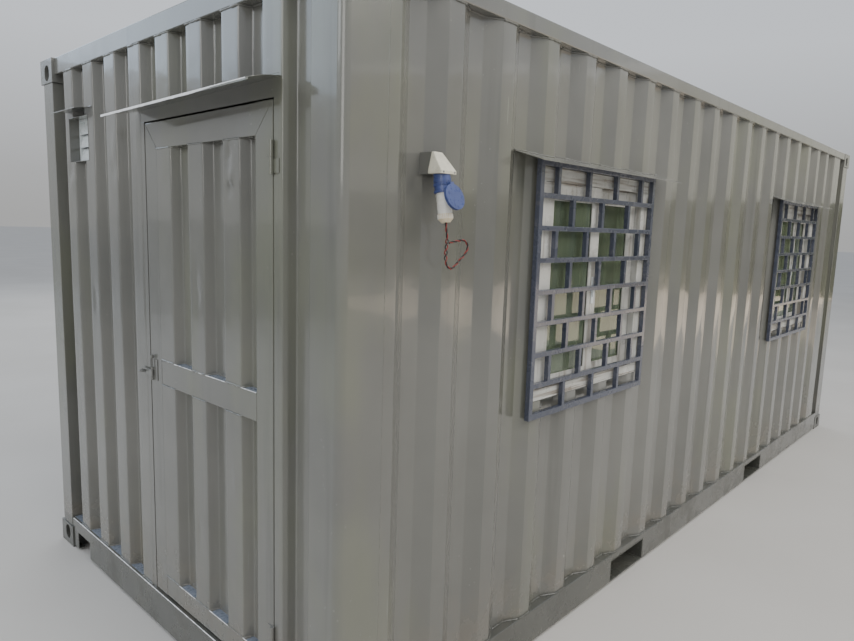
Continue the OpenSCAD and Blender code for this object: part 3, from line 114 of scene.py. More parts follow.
class Mat:
    """A small builder of procedural materials in object space, which is the part's own frame."""

    def __init__(self, name, colour, rough=0.4, metal=0.0, **fixed):
        self.m = bpy.data.materials.new(name)
        self.m.use_nodes = True
        self.t = self.m.node_tree
        self.n = self.t.nodes
        self.s = self.n["Principled BSDF"]
        self.s.inputs["Base Color"].default_value = (*colour, 1)
        self.s.inputs["Roughness"].default_value = rough
        self.s.inputs["Metallic"].default_value = metal
        for key, value in fixed.items():
            self.s.inputs[key.replace("_", " ")].default_value = value
        self.where = self.n.new("ShaderNodeTexCoord").outputs["Object"]
        self.base = self.height = None

    def link(self, a, b):
        self.t.links.new(a, b)

    def scaled(self, sx, sy, sz):
        node = self.n.new("ShaderNodeMapping")
        node.inputs["Scale"].default_value = (sx, sy, sz)
        self.link(self.where, node.inputs["Vector"])
        return node.outputs["Vector"]

    def noise(self, scale, detail=3.0, rough=0.5, stretch=(1, 1, 1), distort=0.0):
        node = self.n.new("ShaderNodeTexNoise")
        node.inputs["Scale"].default_value = scale
        node.inputs["Detail"].default_value = detail
        node.inputs["Roughness"].default_value = rough
        node.inputs["Distortion"].default_value = distort
        self.link(self.scaled(*stretch), node.inputs["Vector"])
        return node.outputs["Fac"]

    def cells(self, scale):
        node = self.n.new("ShaderNodeTexVoronoi")
        node.inputs["Scale"].default_value = scale
        self.link(self.scaled(1, 1, 1), node.inputs["Vector"])
        return node.outputs["Distance"]

    def map(self, value, a, b, c=0.0, d=1.0):
        """Takes the range a to b smoothly to c to d."""
        node = self.n.new("ShaderNodeMapRange")
        node.interpolation_type = "SMOOTHSTEP"
        for key, x in zip(("From Min", "From Max", "To Min", "To Max"), (a, b, c, d)):
            node.inputs[key].default_value = x
        self.link(value, node.inputs["Value"])
        return node.outputs["Result"]

    def math(self, kind, a, b):
        node = self.n.new("ShaderNodeMath")
        node.operation = kind
        for socket, x in zip(node.inputs, (a, b)):
            if isinstance(x, (int, float)):
                socket.default_value = x
            else:
                self.link(x, socket)
        return node.outputs[0]

    def times(self, a, b):
        return self.math("MULTIPLY", a, b)

    def axis(self, which):
        node = self.n.new("ShaderNodeSeparateXYZ")
        self.link(self.where, node.inputs[0])
        return node.outputs[which]

    def colour(self, stops, by):
        node = self.n.new("ShaderNodeValToRGB")
        set_ramp(node.color_ramp, stops)
        self.link(by, node.inputs["Fac"])
        self.base = node.outputs["Color"]

    def over(self, colour, by, amount=None):
        """Lays a colour over what is there, by a mask and the amount of it."""
        mask = by if amount is None else self.times(by, amount)
        node = self.n.new("ShaderNodeMix")
        node.data_type = "RGBA"
        self.link(mask, node.inputs["Factor"])
        self.link(self.base, node.inputs["A"])
        node.inputs["B"].default_value = (*colour, 1)
        self.base = node.outputs["Result"]

    def bump(self, value, depth):
        """Adds relief of that depth in metres."""
        node = self.n.new("ShaderNodeBump")
        node.inputs["Strength"].default_value = 1.0
        node.inputs["Distance"].default_value = depth
        self.link(value, node.inputs["Height"])
        if self.height is not None:
            self.link(self.height, node.inputs["Normal"])
        self.height = node.outputs["Normal"]

    def rough(self, value):
        self.link(value, self.s.inputs["Roughness"])

    def done(self):
        if self.base is not None:
            self.link(self.base, self.s.inputs["Base Color"])
        if self.height is not None:
            self.link(self.height, self.s.inputs["Normal"])
        return self.m


def enamel(name, dark, light, low=0.10, high=0.27, buckle=0.0012, cast=0.0):
    """Sprayed enamel, dusty low down, with painted shade on the rails and sills; low and high bound
    its roughness.
    """
    m = Mat(name, light, Coat_Weight=0.55, Coat_Roughness=0.05, Specular_IOR_Level=0.55)
    m.colour([(0.30, dark), (0.72, light)], m.noise(1.3, 4, 0.55))
    # Thin places of the sprayed coat, a little greener
    thin = m.map(m.noise(2.1, 3, 0.6, (1.0, 1.0, 0.35)), 0.48, 0.70)
    m.over((light[0] * 0.97, light[1] * 1.01, light[2] * 0.78), thin, 0.55)
    # Runs and wipe marks down the walls
    runs = m.noise(9.0, 3, 0.6, (1.0, 1.0, 0.05))
    m.over(tuple(c * 0.78 for c in dark), m.map(runs, 0.56, 0.74), 0.5)
    # Dust that gathers low down
    z = m.axis("Z")
    low_down = m.times(m.map(z, 0.55, 0.02), m.map(m.noise(7.0, 5, 0.65), 0.38, 0.66))
    m.over((0.190, 0.160, 0.122), low_down, 0.6)
    # Painted shade on the rails and sills, in patches, darker than the walls
    low_shade_patches = m.map(m.noise(5.0, 4, 0.6), 0.25, 0.65, 0.62, 0.92)
    m.over((0.058, 0.060, 0.051), m.map(z, 0.185, 0.160), low_shade_patches)
    # Small pale specks and scratches
    speck = m.map(m.cells(34.0), 0.075, 0.045)
    some = m.map(m.noise(3.1, 2, 0.5), 0.58, 0.64)
    m.over((0.36, 0.35, 0.32), m.times(speck, some), 0.6)
    scratch = m.map(m.noise(60.0, 2, 0.5, (1.0, 1.0, 0.035)), 0.735, 0.76)
    rare = m.map(m.noise(2.2, 1, 0.5), 0.60, 0.66)
    m.over((0.30, 0.30, 0.27), m.times(scratch, rare), 0.5)
    gloss = m.math("ADD", m.times(m.noise(4.5, 4, 0.6), 0.6), m.times(runs, 0.4))
    m.rough(m.math("ADD", m.map(gloss, 0.36, 0.66, low, high), m.times(low_down, 0.25)))
    m.bump(m.noise(2.6, 2, 0.45), buckle * 5.0)
    m.bump(m.noise(11.0, 2, 0.5), buckle * 0.9)
    m.bump(m.noise(320.0, 2, 0.5), 0.00006 + cast * 0.4)
    if cast:
        m.bump(m.noise(60.0, 4, 0.6), cast)
    return m.done()


GREY = enamel("enamel_grey", (0.128, 0.127, 0.114), (0.172, 0.170, 0.153))
GREY_FRAME = enamel("enamel_frame", (0.124, 0.123, 0.111), (0.166, 0.165, 0.149), buckle=0.0005)
GREY_CAST = enamel("enamel_cast", (0.120, 0.120, 0.110), (0.162, 0.161, 0.148), 0.22, 0.42,
                   buckle=0.0005, cast=0.0012)


def make_under():
    m = Mat("floor_steel", (0.10, 0.10, 0.095), 0.6)
    m.colour([(0.3, (0.060, 0.060, 0.057)), (0.7, (0.120, 0.118, 0.110))], m.noise(5.0, 4, 0.6))
    m.over((0.16, 0.085, 0.05), m.map(m.noise(13.0, 5, 0.7), 0.62, 0.72))
    m.rough(m.map(m.noise(9.0, 3), 0.3, 0.7, 0.5, 0.8))
    m.bump(m.noise(45.0, 4, 0.6), 0.0012)
    return m.done()


def make_ply():
    m = Mat("plywood", (0.30, 0.20, 0.11), 0.55)
    grain = m.noise(22.0, 6, 0.6, (0.06, 1.0, 1.0), 0.6)
    m.colour([(0.25, (0.175, 0.105, 0.055)), (0.5, (0.30, 0.195, 0.105)),
              (0.8, (0.40, 0.275, 0.16))], grain)
    m.over((0.10, 0.075, 0.05), m.map(m.noise(3.0, 5, 0.7), 0.52, 0.70), 0.6)
    m.rough(m.map(grain, 0.2, 0.8, 0.42, 0.66))
    m.bump(grain, 0.0006)
    return m.done()


def make_blue():
    m = Mat("grille_blue", (0.035, 0.042, 0.085), 0.22, Coat_Weight=0.45, Coat_Roughness=0.06)
    m.colour([(0.3, (0.046, 0.053, 0.078)), (0.7, (0.070, 0.078, 0.109))], m.noise(3.0, 4, 0.6))
    m.over((0.17, 0.165, 0.165), m.map(m.noise(26.0, 5, 0.7), 0.52, 0.70), 0.5)
    m.rough(m.map(m.noise(12.0, 3, 0.6), 0.3, 0.7, 0.17, 0.36))
    m.bump(m.noise(70.0, 3, 0.6), 0.0003)
    m.bump(m.noise(9.0, 2, 0.5), 0.0008)
    return m.done()


def make_upvc():
    m = Mat("upvc_white", (0.60, 0.60, 0.57), 0.30)
    m.colour([(0.3, (0.43, 0.425, 0.395)), (0.7, (0.60, 0.595, 0.56))], m.noise(6.0, 3, 0.5))
    # Dust wiped along the stiles, and along the head and sill
    z = m.axis("Z")
    across = m.math("ADD", m.map(z, 1.975, 2.000), m.map(z, 1.185, 1.160))
    down = m.map(m.noise(30.0, 4, 0.7, (1.0, 1.0, 0.05)), 0.50, 0.66)
    along = m.map(m.noise(48.0, 4, 0.7, (0.04, 0.5, 1.0)), 0.48, 0.62)
    m.over((0.20, 0.165, 0.12), m.math("SUBTRACT", down, across), 0.62)
    m.over((0.17, 0.125, 0.085), m.times(along, across), 0.72)
    m.over((0.16, 0.14, 0.11), m.map(m.noise(75.0, 4, 0.7), 0.62, 0.72), 0.6)
    m.rough(m.map(m.noise(14.0, 3, 0.6), 0.3, 0.7, 0.24, 0.45))
    m.bump(m.noise(150.0, 2, 0.5), 0.0001)
    return m.done()


def make_glass():
    m = Mat("window_glass", (0.42, 0.52, 0.38), 0.03, Transmission_Weight=0.80, IOR=1.52)
    m.colour([(0.3, (0.32, 0.41, 0.29)), (0.7, (0.50, 0.60, 0.42))],
             m.noise(2.6, 4, 0.6, (1.0, 1.0, 0.5)))
    smear = m.map(m.noise(7.0, 5, 0.7, (1.0, 1.0, 0.4)), 0.50, 0.72)
    m.over((0.50, 0.47, 0.40), smear, 0.22)
    m.rough(m.map(smear, 0.0, 1.0, 0.015, 0.16))
    m.bump(m.noise(2.4, 1, 0.5), 0.0012)
    return m.done()


def make_plastic(name, a, b, low, high, grime=0.3):
    m = Mat(name, b, low)
    m.colour([(0.3, a), (0.7, b)], m.noise(26.0, 4, 0.6))
    m.over(tuple(c * 0.45 for c in a), m.map(m.noise(60.0, 5, 0.7), 0.56, 0.72), grime)
    m.rough(m.map(m.noise(70.0, 3, 0.6), 0.3, 0.7, low, high))
    m.bump(m.noise(400.0, 2, 0.5), 0.0001)
    return m.done()


def make_metal(name, a, b, low, high, metal):
    m = Mat(name, b, low, metal)
    m.colour([(0.3, a), (0.7, b)], m.noise(14.0, 5, 0.65))
    m.over(tuple(c * 0.5 for c in a), m.map(m.noise(50.0, 5, 0.7), 0.58, 0.72), 0.5)
    m.rough(m.map(m.noise(40.0, 4, 0.6), 0.3, 0.7, low, high))
    m.bump(m.noise(160.0, 3, 0.6), 0.0002)
    return m.done()


UNDER, PLY, BLUE, UPVC, GLASS = make_under(), make_ply(), make_blue(), make_upvc(), make_glass()
LOUVRE = make_plastic("louvre_white", (0.60, 0.64, 0.64), (0.76, 0.79, 0.79), 0.25, 0.42)
CREAM = make_plastic("inlet_cream", (0.56, 0.53, 0.42), (0.70, 0.67, 0.55), 0.28, 0.46)
NUT = make_plastic("nut_cream", (0.60, 0.51, 0.36), (0.74, 0.65, 0.48), 0.30, 0.46)
PLUG = make_plastic("plug_white", (0.66, 0.65, 0.60), (0.78, 0.77, 0.73), 0.26, 0.42, 0.2)
BLUE_PL = make_plastic("inlet_blue", (0.036, 0.056, 0.165), (0.060, 0.086, 0.235), 0.24, 0.40)
RED = make_plastic("wire_red", (0.17, 0.013, 0.011), (0.27, 0.022, 0.018), 0.28, 0.42)
BLACK = make_plastic("rubber_black", (0.012, 0.012, 0.013), (0.028, 0.028, 0.028), 0.45, 0.65, 0.2)
BAR = make_metal("bar_steel", (0.20, 0.205, 0.20), (0.32, 0.325, 0.315), 0.34, 0.52, 0.6)
# Pale material for painted highlights along edges that catch the light
EDGE_HIGHLIGHT = make_plastic("edge_painted_highlight", (0.74, 0.74, 0.73), (0.90, 0.90, 0.90), 0.30, 0.50)
# Pale grey-blue material for painted sky light on the ledges
LEDGE_SKYLIGHT = make_plastic("ledge_painted_skylight", (0.150, 0.172, 0.210), (0.210, 0.236, 0.280), 0.20, 0.40, 0.35)
COPPER = make_metal("copper", (0.55, 0.22, 0.10), (0.80, 0.36, 0.18), 0.25, 0.40, 1.0)

# Mesh helpers


def add(name, verts, faces, mats, body, angle, face_mats=None):
    """A mesh that rides on a body, with faces turned outwards and edges sharp past the angle."""
    me = bpy.data.meshes.new(name)
    me.from_pydata([tuple(v) for v in verts], [], faces)
    if face_mats:
        me.polygons.foreach_set("material_index", face_mats)
    bm = bmesh.new()
    bm.from_mesh(me)
    bmesh.ops.recalc_face_normals(bm, faces=bm.faces)
    bm.to_mesh(me)
    bm.free()
    me.shade_smooth()
    me.set_sharp_from_angle(angle=math.radians(angle))
    o = bpy.data.objects.new(name, me)
    scene.collection.objects.link(o)
    for m in mats:
        me.materials.append(m)
    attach(o, body)
    return o


def bevelled(o, width, segments):
    mod = o.modifiers.new("edges", "BEVEL")
    mod.width = width
    mod.segments = segments
    mod.limit_method = "ANGLE"
    mod.angle_limit = math.radians(35)
    mod.use_clamp_overlap = True
    mod.harden_normals = False
    mod = o.modifiers.new("normals", "WEIGHTED_NORMAL")
    mod.keep_sharp = True
    mod.weight = 50


def dress(node, mat, width=0.0, segments=2):
    """A carried-over CAD node with its finish, and softened edges."""
    o = NODES[node]
    for place in o.material_slots:
        place.material = mat
    if not o.material_slots:
        o.data.materials.append(mat)
    if width:
        weld = o.modifiers.new("weld", "WELD")
        weld.merge_threshold = 0.00005
        bevelled(o, width, segments)


def rounded(points, r, n=4):
    """An open line of (u, d) points with its corners turned into arcs."""
    out = [points[0]]
    for a, b, c in zip(points, points[1:], points[2:]):
        a, b, c = Vector(a), Vector(b), Vector(c)
        u, v = (a - b), (c - b)
        la, lc = u.length, v.length
        u.normalize()
        v.normalize()
        turn = math.pi - u.angle(v)
        if turn < 0.02:
            out.append(tuple(b))
            continue
        tangent = min(r * math.tan(turn / 2), 0.45 * la, 0.45 * lc)
        radius = tangent / math.tan(turn / 2)
        middle = b + (u + v).normalized() * (radius / math.cos(turn / 2))
        p0 = b + u * tangent - middle
        p1 = b + v * tangent - middle
        for i in range(n + 1):
            k = i / n
            p = (p0 * math.sin((1 - k) * turn) + p1 * math.sin(k * turn)) / math.sin(turn)
            out.append(tuple(middle + p))
    out.append(points[-1])
    return out


def corrugation(u0, u1, centres, half, slope, base, tip, r):
    """A sheet's outer line, with ridges or recesses from the base depth to the tip depth."""
    pts = [(u0, base)]
    for c in centres:
        pts += [(c - half - slope, base), (c - half, tip), (c + half, tip),
                (c + half + slope, base)]
    pts.append((u1, base))
    return rounded(pts, r)


def cut_line(line, u0, u1, stops, step=0.045):
    """The stretch of a line between u0 and u1, with points at the stops and long steps divided."""
    def at(u):
        for (a, da), (b, db) in zip(line, line[1:]):
            if a - 1e-9 <= u <= b + 1e-9 and b > a:
                return (u, da + (db - da) * (u - a) / (b - a))
        return (u, line[-1][1])
    marks = sorted({u0, u1, *[s for s in stops if u0 < s < u1]})
    pts = [at(m) for m in marks] + [p for p in line if u0 < p[0] < u1]
    pts.sort()
    clean = [pts[0]]
    for p in pts[1:]:
        if p[0] - clean[-1][0] > 2e-4:
            clean.append(p)
        elif any(abs(p[0] - m) < 1e-9 for m in marks):
            clean[-1] = p
    out = [clean[0]]
    for p in clean[1:]:
        q = out[-1]
        parts = max(1, math.ceil(math.dist(p, q) / step))
        for k in range(1, parts + 1):
            out.append((q[0] + (p[0] - q[0]) * k / parts, q[1] + (p[1] - q[1]) * k / parts))
    return out


def steps(a, b, stops, step):
    """Even steps from a to b that also meet the stops."""
    marks = sorted({a, b, *[s for s in stops if a < s < b]})
    out = [marks[0]]
    for p, q in zip(marks, marks[1:]):
        parts = max(1, round((q - p) / step))
        out += [p + (q - p) * k / parts for k in range(1, parts + 1)]
    return out


def step_in(x, a, b):
    """0 at a and 1 at b, along a smooth step."""
    k = min(max((x - a) / (b - a), 0.0), 1.0)
    return k * k * (3 - 2 * k)


def buckle(seed, amp, edges, dents=()):
    """Gentle hollows of pressed and welded sheet, none at its edges, and dents.

    A dent is (u, z, half width, half height, depth).
    """
    def depth(u, z):
        near = min(min(abs(u - e) for e in edges[0]), min(abs(z - e) for e in edges[1]))
        fade = step_in(near, 0.0, 0.12)
        big = noise.noise(Vector((u * 2.3, z * 1.1, seed)))
        mid = noise.noise(Vector((u * 6.5, z * 3.1, seed + 9.0)))
        small = noise.noise(Vector((u * 16.0, z * 11.0, seed + 19.0)))
        knocks = sum(deep * math.exp(-((u - du) / ru) ** 2 - ((z - dz) / rz) ** 2)
                     * (1 + 0.7 * noise.noise(Vector((u * 40.0, z * 30.0, seed))))
                     for du, dz, ru, rz, deep in dents)
        hollows = 0.55 * big + 0.38 * mid + 0.14 * small
        return amp * fade * hollows + step_in(near, 0.0, 0.02) * knocks
    return depth


def sheet_mesh(name, line, z0, z1, holes, place, depth, body="cabin", step=0.055, across=0.045):
    """A corrugated sheet of real thickness with holes, as one closed mesh."""
    stops = [h[0] for h in holes] + [h[1] for h in holes]
    us = cut_line(line, line[0][0], line[-1][0], stops, across)
    zs = steps(z0, z1, [h[2] for h in holes] + [h[3] for h in holes], step)
    nu, nz = len(us), len(zs)
    normals = []
    for i in range(nu):
        a, b = us[max(i - 1, 0)], us[min(i + 1, nu - 1)]
        t = Vector((b[0] - a[0], b[1] - a[1])).normalized()
        normals.append((-t.y, t.x))
    verts = []
    for side in (0.0, SHEET):
        for i, (u, d) in enumerate(us):
            for z in zs:
                shift = depth(u, z)
                verts.append(place(u + normals[i][0] * side, d + normals[i][1] * side + shift, z))
    full = [[True] * (nz - 1) for _ in range(nu - 1)]
    for i in range(nu - 1):
        for j in range(nz - 1):
            mu, mz = (us[i][0] + us[i + 1][0]) / 2, (zs[j] + zs[j + 1]) / 2
            if any(h[0] < mu < h[1] and h[2] < mz < h[3] for h in holes):
                full[i][j] = False
    other = nu * nz
    faces = []

    def there(i, j):
        return 0 <= i < nu - 1 and 0 <= j < nz - 1 and full[i][j]
    for i in range(nu - 1):
        for j in range(nz - 1):
            if not full[i][j]:
                continue
            a, b, c, d = i * nz + j, (i + 1) * nz + j, (i + 1) * nz + j + 1, i * nz + j + 1
            faces.append((a, b, c, d))
            faces.append((other + d, other + c, other + b, other + a))
            if not there(i - 1, j):
                faces.append((a, d, other + d, other + a))
            if not there(i + 1, j):
                faces.append((c, b, other + b, other + c))
            if not there(i, j - 1):
                faces.append((b, a, other + a, other + b))
            if not there(i, j + 1):
                faces.append((d, c, other + c, other + d))
    return add(name, verts, faces, [GREY], body, 50)


def upright(t):
    """Two directions square to t and to each other."""
    ref = Vector((0, 0, 1)) if abs(t.z) < 0.9 else Vector((1, 0, 0))
    side = t.cross(ref).normalized()
    return side, side.cross(t).normalized()


def direction(points, i):
    """Which way a line of points runs at its point i."""
    a, b = points[max(i - 1, 0)], points[min(i + 1, len(points) - 1)]
    return (b - a).normalized()


def ring_into(verts, centre, r, s, n, sides):
    """Adds a ring of points round the centre, in the plane of s and n."""
    for k in range(sides):
        a = 2 * math.pi * k / sides
        verts.append(centre + r * (math.cos(a) * s + math.sin(a) * n))


def skin_into(faces, start, rings, sides, cap=True):
    """Joins rings of points to a tube, closed at both ends where it has caps."""
    for i in range(rings - 1):
        for k in range(sides):
            n = (k + 1) % sides
            a = start + i * sides
            faces.append((a + k, a + n, a + sides + n, a + sides + k))
    if cap:
        faces.append(tuple(start + k for k in reversed(range(sides))))
        last = start + (rings - 1) * sides
        faces.append(tuple(last + k for k in range(sides)))


def tube_into(verts, faces, points, radius, sides, cap=True, lumps=0.0, seed=0.0):
    """Adds a round bar along points; lumps make it uneven, as a weld is."""
    start = len(verts)
    for i, p in enumerate(points):
        r = radius
        if lumps:
            r *= 1 + lumps * noise.noise(Vector((i * 0.9, seed, 0.3))) * 1.6
        ring_into(verts, p, r, *upright(direction(points, i)), sides)
    skin_into(faces, start, len(points), sides, cap)


def resample(points, step):
    """The same line with about even steps along it."""
    out = [points[0]]
    for p, q in zip(points, points[1:]):
        parts = max(1, round((q - p).length / step))
        out += [p.lerp(q, k / parts) for k in range(1, parts + 1)]
    return out


def welds(name, paths, radius, mat, body="cabin", step=0.012, lumps=0.5):
    """Uneven beads along paths, as one piece."""
    verts, faces = [], []
    for n, path in enumerate(paths):
        points = resample([Vector(p) for p in path], step)
        tube_into(verts, faces, points, radius, 6, lumps=lumps, seed=n * 3.7)
    add(name, verts, faces, [mat], body, 70)


def box_into(verts, faces, lo, hi):
    s = len(verts)
    for z in (lo[2], hi[2]):
        for y in (lo[1], hi[1]):
            for x in (lo[0], hi[0]):
                verts.append(Vector((x, y, z)))
    for f in ((0, 2, 3, 1), (4, 5, 7, 6), (0, 1, 5, 4), (2, 6, 7, 3), (0, 4, 6, 2), (1, 3, 7, 5)):
        faces.append(tuple(s + i for i in f))


def boxes(name, spans, mat, width, body="cabin", segments=2):
    """Boxes between low and high corners as one piece, with edges rounded by the width."""
    verts, faces = [], []
    for lo, hi in spans:
        box_into(verts, faces, lo, hi)
    o = add(name, verts, faces, [mat], body, 30)
    if width:
        bevelled(o, width, segments)


def disc_into(verts, faces, centre, axis, rings, sides):
    """A turned shape: rings of (distance along the axis, radius), closed at both ends."""
    t = Vector(axis).normalized()
    start = len(verts)
    for h, r in rings:
        ring_into(verts, Vector(centre) + h * t, r, *upright(t), sides)
    skin_into(faces, start, len(rings), sides)


# The wires at the inlet

NUT_END = INLET + 0.153 * DOWN
STRAND, TWIST = 0.0020, 0.036
# The loop traced on the photograph, in millimetres from the gland nut's end
ROUTE = [(0, 0), (2, -14), (5, -28), (8, -42), (9, -56), (8, -70), (6, -84), (5, -98), (5, -112),
         (7, -126), (13, -138), (24, -145), (36, -146), (48, -140), (58, -132), (70, -123),
         (82, -114), (94, -105), (104, -96), (111, -85), (112, -73), (106, -63), (95, -57),
         (82, -55), (68, -56), (54, -58), (40, -60), (29, -62), (20, -64)]
route = [NUT_END - 0.008 * DOWN]
route += [NUT_END + Vector((x / 1000, 0.0, z / 1000)) for x, z in ROUTE]


def smooth_line(points, per=6):
    """A smooth curve through the points."""
    out = []
    n = len(points)
    for i in range(n - 1):
        p0, p1, p2, p3 = points[max(i - 1, 0)], points[i], points[i + 1], points[min(i + 2, n - 1)]
        for k in range(per):
            t = k / per
            out.append(0.5 * ((2 * p1) + (p2 - p0) * t + (2 * p0 - 5 * p1 + 4 * p2 - p3) * t * t
                              + (3 * p1 - p0 - 3 * p2 + p3) * t * t * t))
    out.append(points[-1].copy())
    return out


wire_line = smooth_line(route)


def twisted_wires():
    """Two thin leads twisted round each other along the route, looser on the way down."""
    verts, faces, mats = [], [], []
    centres = ([], [])
    side = Vector((0, 1, 0))
    dist = 0.0
    for i, p in enumerate(wire_line):
        if i:
            dist += (p - wire_line[i - 1]).length
        up = direction(wire_line, i).cross(side).normalized()
        a = dist / TWIST * 2 * math.pi
        loose = 0.00205 + 0.0022 * step_in(dist, 0.050, 0.070) * (1 - step_in(dist, 0.118, 0.142))
        for w, line in enumerate(centres):
            b = a + math.pi * w
            line.append(p + loose * (math.cos(b) * side + math.sin(b) * up))
    for w, line in enumerate(centres):
        before = len(faces)
        tube_into(verts, faces, line, STRAND, 8)
        mats += [w] * (len(faces) - before)
    # Bare strands at the far ends
    for p, q in (line[-2:] for line in centres):
        before = len(faces)
        d = (q - p).normalized()
        tube_into(verts, faces, [q - d * 0.002, q + d * 0.0002], 0.0010, 6)
        mats += [2] * (len(faces) - before)
    return add("wires_twisted", verts, faces, [RED, BLACK, COPPER], "cabin", 60, mats)


wires = twisted_wires()
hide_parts("inlet_wires")

# Walls and roof

WALL_BUCKLE, LEAF_BUCKLE = 0.0022, 0.0026
window_holes = [(x + HOLE_LAP, x + HOLE_LAP + HOLE_W, HOLE_Z, HOLE_Z + HOLE_H) for x in WINDOWS]
hole_edges = [h[0] for h in window_holes] + [h[1] for h in window_holes]
side_line = cut_line(corrugation(-3.2, 3.2, SIDE_CENTRES, SIDE_FLOOR / 2, SIDE_SLOPE,
                                 0.0, SIDE_DEPTH, 0.014), -INNER_X, INNER_X, [])

window_wall = sheet_mesh(
    "window_wall_sheet", side_line, RAIL_TOP, TOP_RAIL_Z, window_holes,
    lambda u, d, z: (u, -SIDE_Y + d, z),
    buckle(3.0, WALL_BUCKLE, ([-INNER_X, INNER_X] + hole_edges, [RAIL_TOP, TOP_RAIL_Z])))
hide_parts("window_wall_panels", "window_wall_infills")

back_sheet = sheet_mesh(
    "back_wall_sheet", side_line, RAIL_TOP, TOP_RAIL_Z, [],
    lambda u, d, z: (u, SIDE_Y - d, z),
    buckle(31.0, WALL_BUCKLE, ([-INNER_X, INNER_X], [RAIL_TOP, TOP_RAIL_Z])))
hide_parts("back_wall")

end_line = corrugation(-POST_IN_Y, POST_IN_Y, END_CENTRES, END_HALF, END_SLOPE,
                       END_DEPTH, 0.0, 0.007)


def end_part(name, y0, y1, z0, holes, node, seed, dents=()):
    """One sheet of the end wall, up to the top rail, in place of its CAD node."""
    o = sheet_mesh(name, cut_line(end_line, y0, y1, []), z0, END_TOP_Z, holes,
                   lambda u, d, z: (-END_X + d, u, z),
                   buckle(seed, WALL_BUCKLE, ([y0, y1], [z0, END_TOP_Z]), dents),
                   step=0.026, across=0.022)
    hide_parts(node)


end_part("end_sheet_vent_side", JAMB_Y1, POST_IN_Y, SILL_TOP,
         [VENT, (INNER_Y, 2.0, CASTING_Z, 3.0)], "end_wall_vent_side", 51.0,
         ((0.897, 2.030, 0.026, 0.030, 0.0050), (0.888, 1.975, 0.018, 0.034, -0.0040),
          (0.372, 2.110, 0.020, 0.055, -0.0040), (0.380, 2.020, 0.022, 0.028, 0.0045),
          (0.135, 2.110, 0.014, 0.080, -0.0035), (0.650, 1.420, 0.022, 0.060, 0.0030)))
end_part("end_sheet_over_door", JAMB_Y0, JAMB_Y1, HEAD_TOP, [], "end_wall_over_door", 61.0)
end_part("end_sheet_hinge_side", -POST_IN_Y, JAMB_Y0, SILL_TOP,
         [(-2.0, -INNER_Y, CASTING_Z, 3.0)], "end_wall_hinge_side", 71.0)

# Roof grooves: pitch, half width, flank and depth
ROOF_PITCH, ROOF_HALF, ROOF_SLOPE, ROOF_DEPTH = 0.209, 0.0455, 0.014, 0.020
ROOF_Y, ROOF_Z = 1.156, 2.583
roof_line = corrugation(-INNER_X, INNER_X, [(i - 13) * ROOF_PITCH for i in range(27)],
                        ROOF_HALF, ROOF_SLOPE, 0.0, ROOF_DEPTH, 0.006)


def roof_sag(u, y):
    """The roof's gentle hollows, none along its long edges."""
    return (0.004 * step_in(ROOF_Y - abs(y), 0.0, 0.3)
            * (0.4 + noise.noise(Vector((u * 1.1, y * 0.9, 5.0))) * 0.8))


roof = sheet_mesh("roof_skin", roof_line, -ROOF_Y, ROOF_Y, [], lambda u, d, y: (u, y, ROOF_Z - d),
                  roof_sag, step=0.075)
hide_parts("roof_sheet")

# Door leaf panels

leaf_line = cut_line(corrugation(-1.0, 0.2, LEAF_CENTRES, LEAF_HALF, LEAF_SLOPE,
                                 0.0, LEAF_DEPTH, 0.007), LEAF_IN_Y0, LEAF_IN_Y1, [])
LEAF_DENTS = ((-0.588, 2.030, 0.016, 0.040, 0.0045), (-0.606, 1.965, 0.014, 0.026, -0.0040),
              (-0.590, 1.915, 0.018, 0.022, 0.0045), (-0.350, 1.560, 0.022, 0.070, 0.0030),
              (-0.340, 0.560, 0.020, 0.060, 0.0030), (-0.610, 0.870, 0.018, 0.050, -0.0025))
for name, (z0, z1), seed in (("leaf_skin_low", LEAF_LOW, 81.0),
                             ("leaf_skin_high", LEAF_HIGH, 91.0)):
    sides = ([LEAF_IN_Y0, LEAF_IN_Y1], [z0, z1])
    o = sheet_mesh(name, leaf_line, z0, z1, [], lambda u, d, z: (-END_X + d, u, z),
                   buckle(seed, LEAF_BUCKLE, sides, LEAF_DENTS), "door", step=0.014, across=0.010)
    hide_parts("door_leaf_panels")

# Carried-over nodes

for n in ("bottom_castings", "top_castings"):
    dress(n, GREY_CAST, 0.006, 3)
for n, w in (("door_end_posts", 0.003), ("cargo_end_posts", 0.003), ("bottom_side_rails", 0.004),
             ("top_side_rails", 0.006), ("door_end_top_rail", 0.005), ("door_end_sill", 0.004),
             ("cargo_header", 0.005), ("cargo_sill", 0.004), ("fork_pockets", 0.002),
             ("hinge_side_jamb", 0.0012), ("latch_side_jamb", 0.0012), ("door_head", 0.0012),
             ("door_leaf_frame", 0.003), ("window_subframes", 0.001), ("cargo_door_left", 0.003),
             ("cargo_door_right", 0.003), ("bar_keepers", 0.002), ("cargo_hinges", 0.002)):
    dress(n, GREY_FRAME, w)
for n in ("roof_end_plates", "door_hinge_halves", "frame_hinge_halves", "hasp_plate", "hasp_strap",
          "hasp_staple", "vent_sleeve", "vent_hood", "window_hoods", "inlet_bracket", "canopy"):
    dress(n, GREY_FRAME, 0.0006)
dress("cross_members", UNDER, 0.001)
dress("floor_sheets", PLY, 0.001)
for n in ("window_1_grille", "window_2_grille"):
    dress(n, BLUE, 0.0022, 2)
dress("window_frames", UPVC, 0.003, 3)
dress("window_sashes", UPVC, 0.003, 3)
dress("window_glass", GLASS)
dress("vent_louvre", LOUVRE, 0.001)
dress("inlet_housing", CREAM, 0.004, 3)
dress("inlet_collar", BLUE_PL, 0.002)
dress("inlet_lid", BLUE_PL, 0.002, 3)
dress("inlet_plug", PLUG, 0.003, 3)
dress("gland_nut", NUT, 0.0015)
dress("locking_bars", BAR, 0.001)

# Weld beads


def end_bead(y0, y1, z):
    return [(-END_X + d - 0.001, u, z) for u, d in cut_line(end_line, y0, y1, [])]


def upright_bead(x, y, z):
    return [(x, y, z), (x, y, BEAD_TOP)]


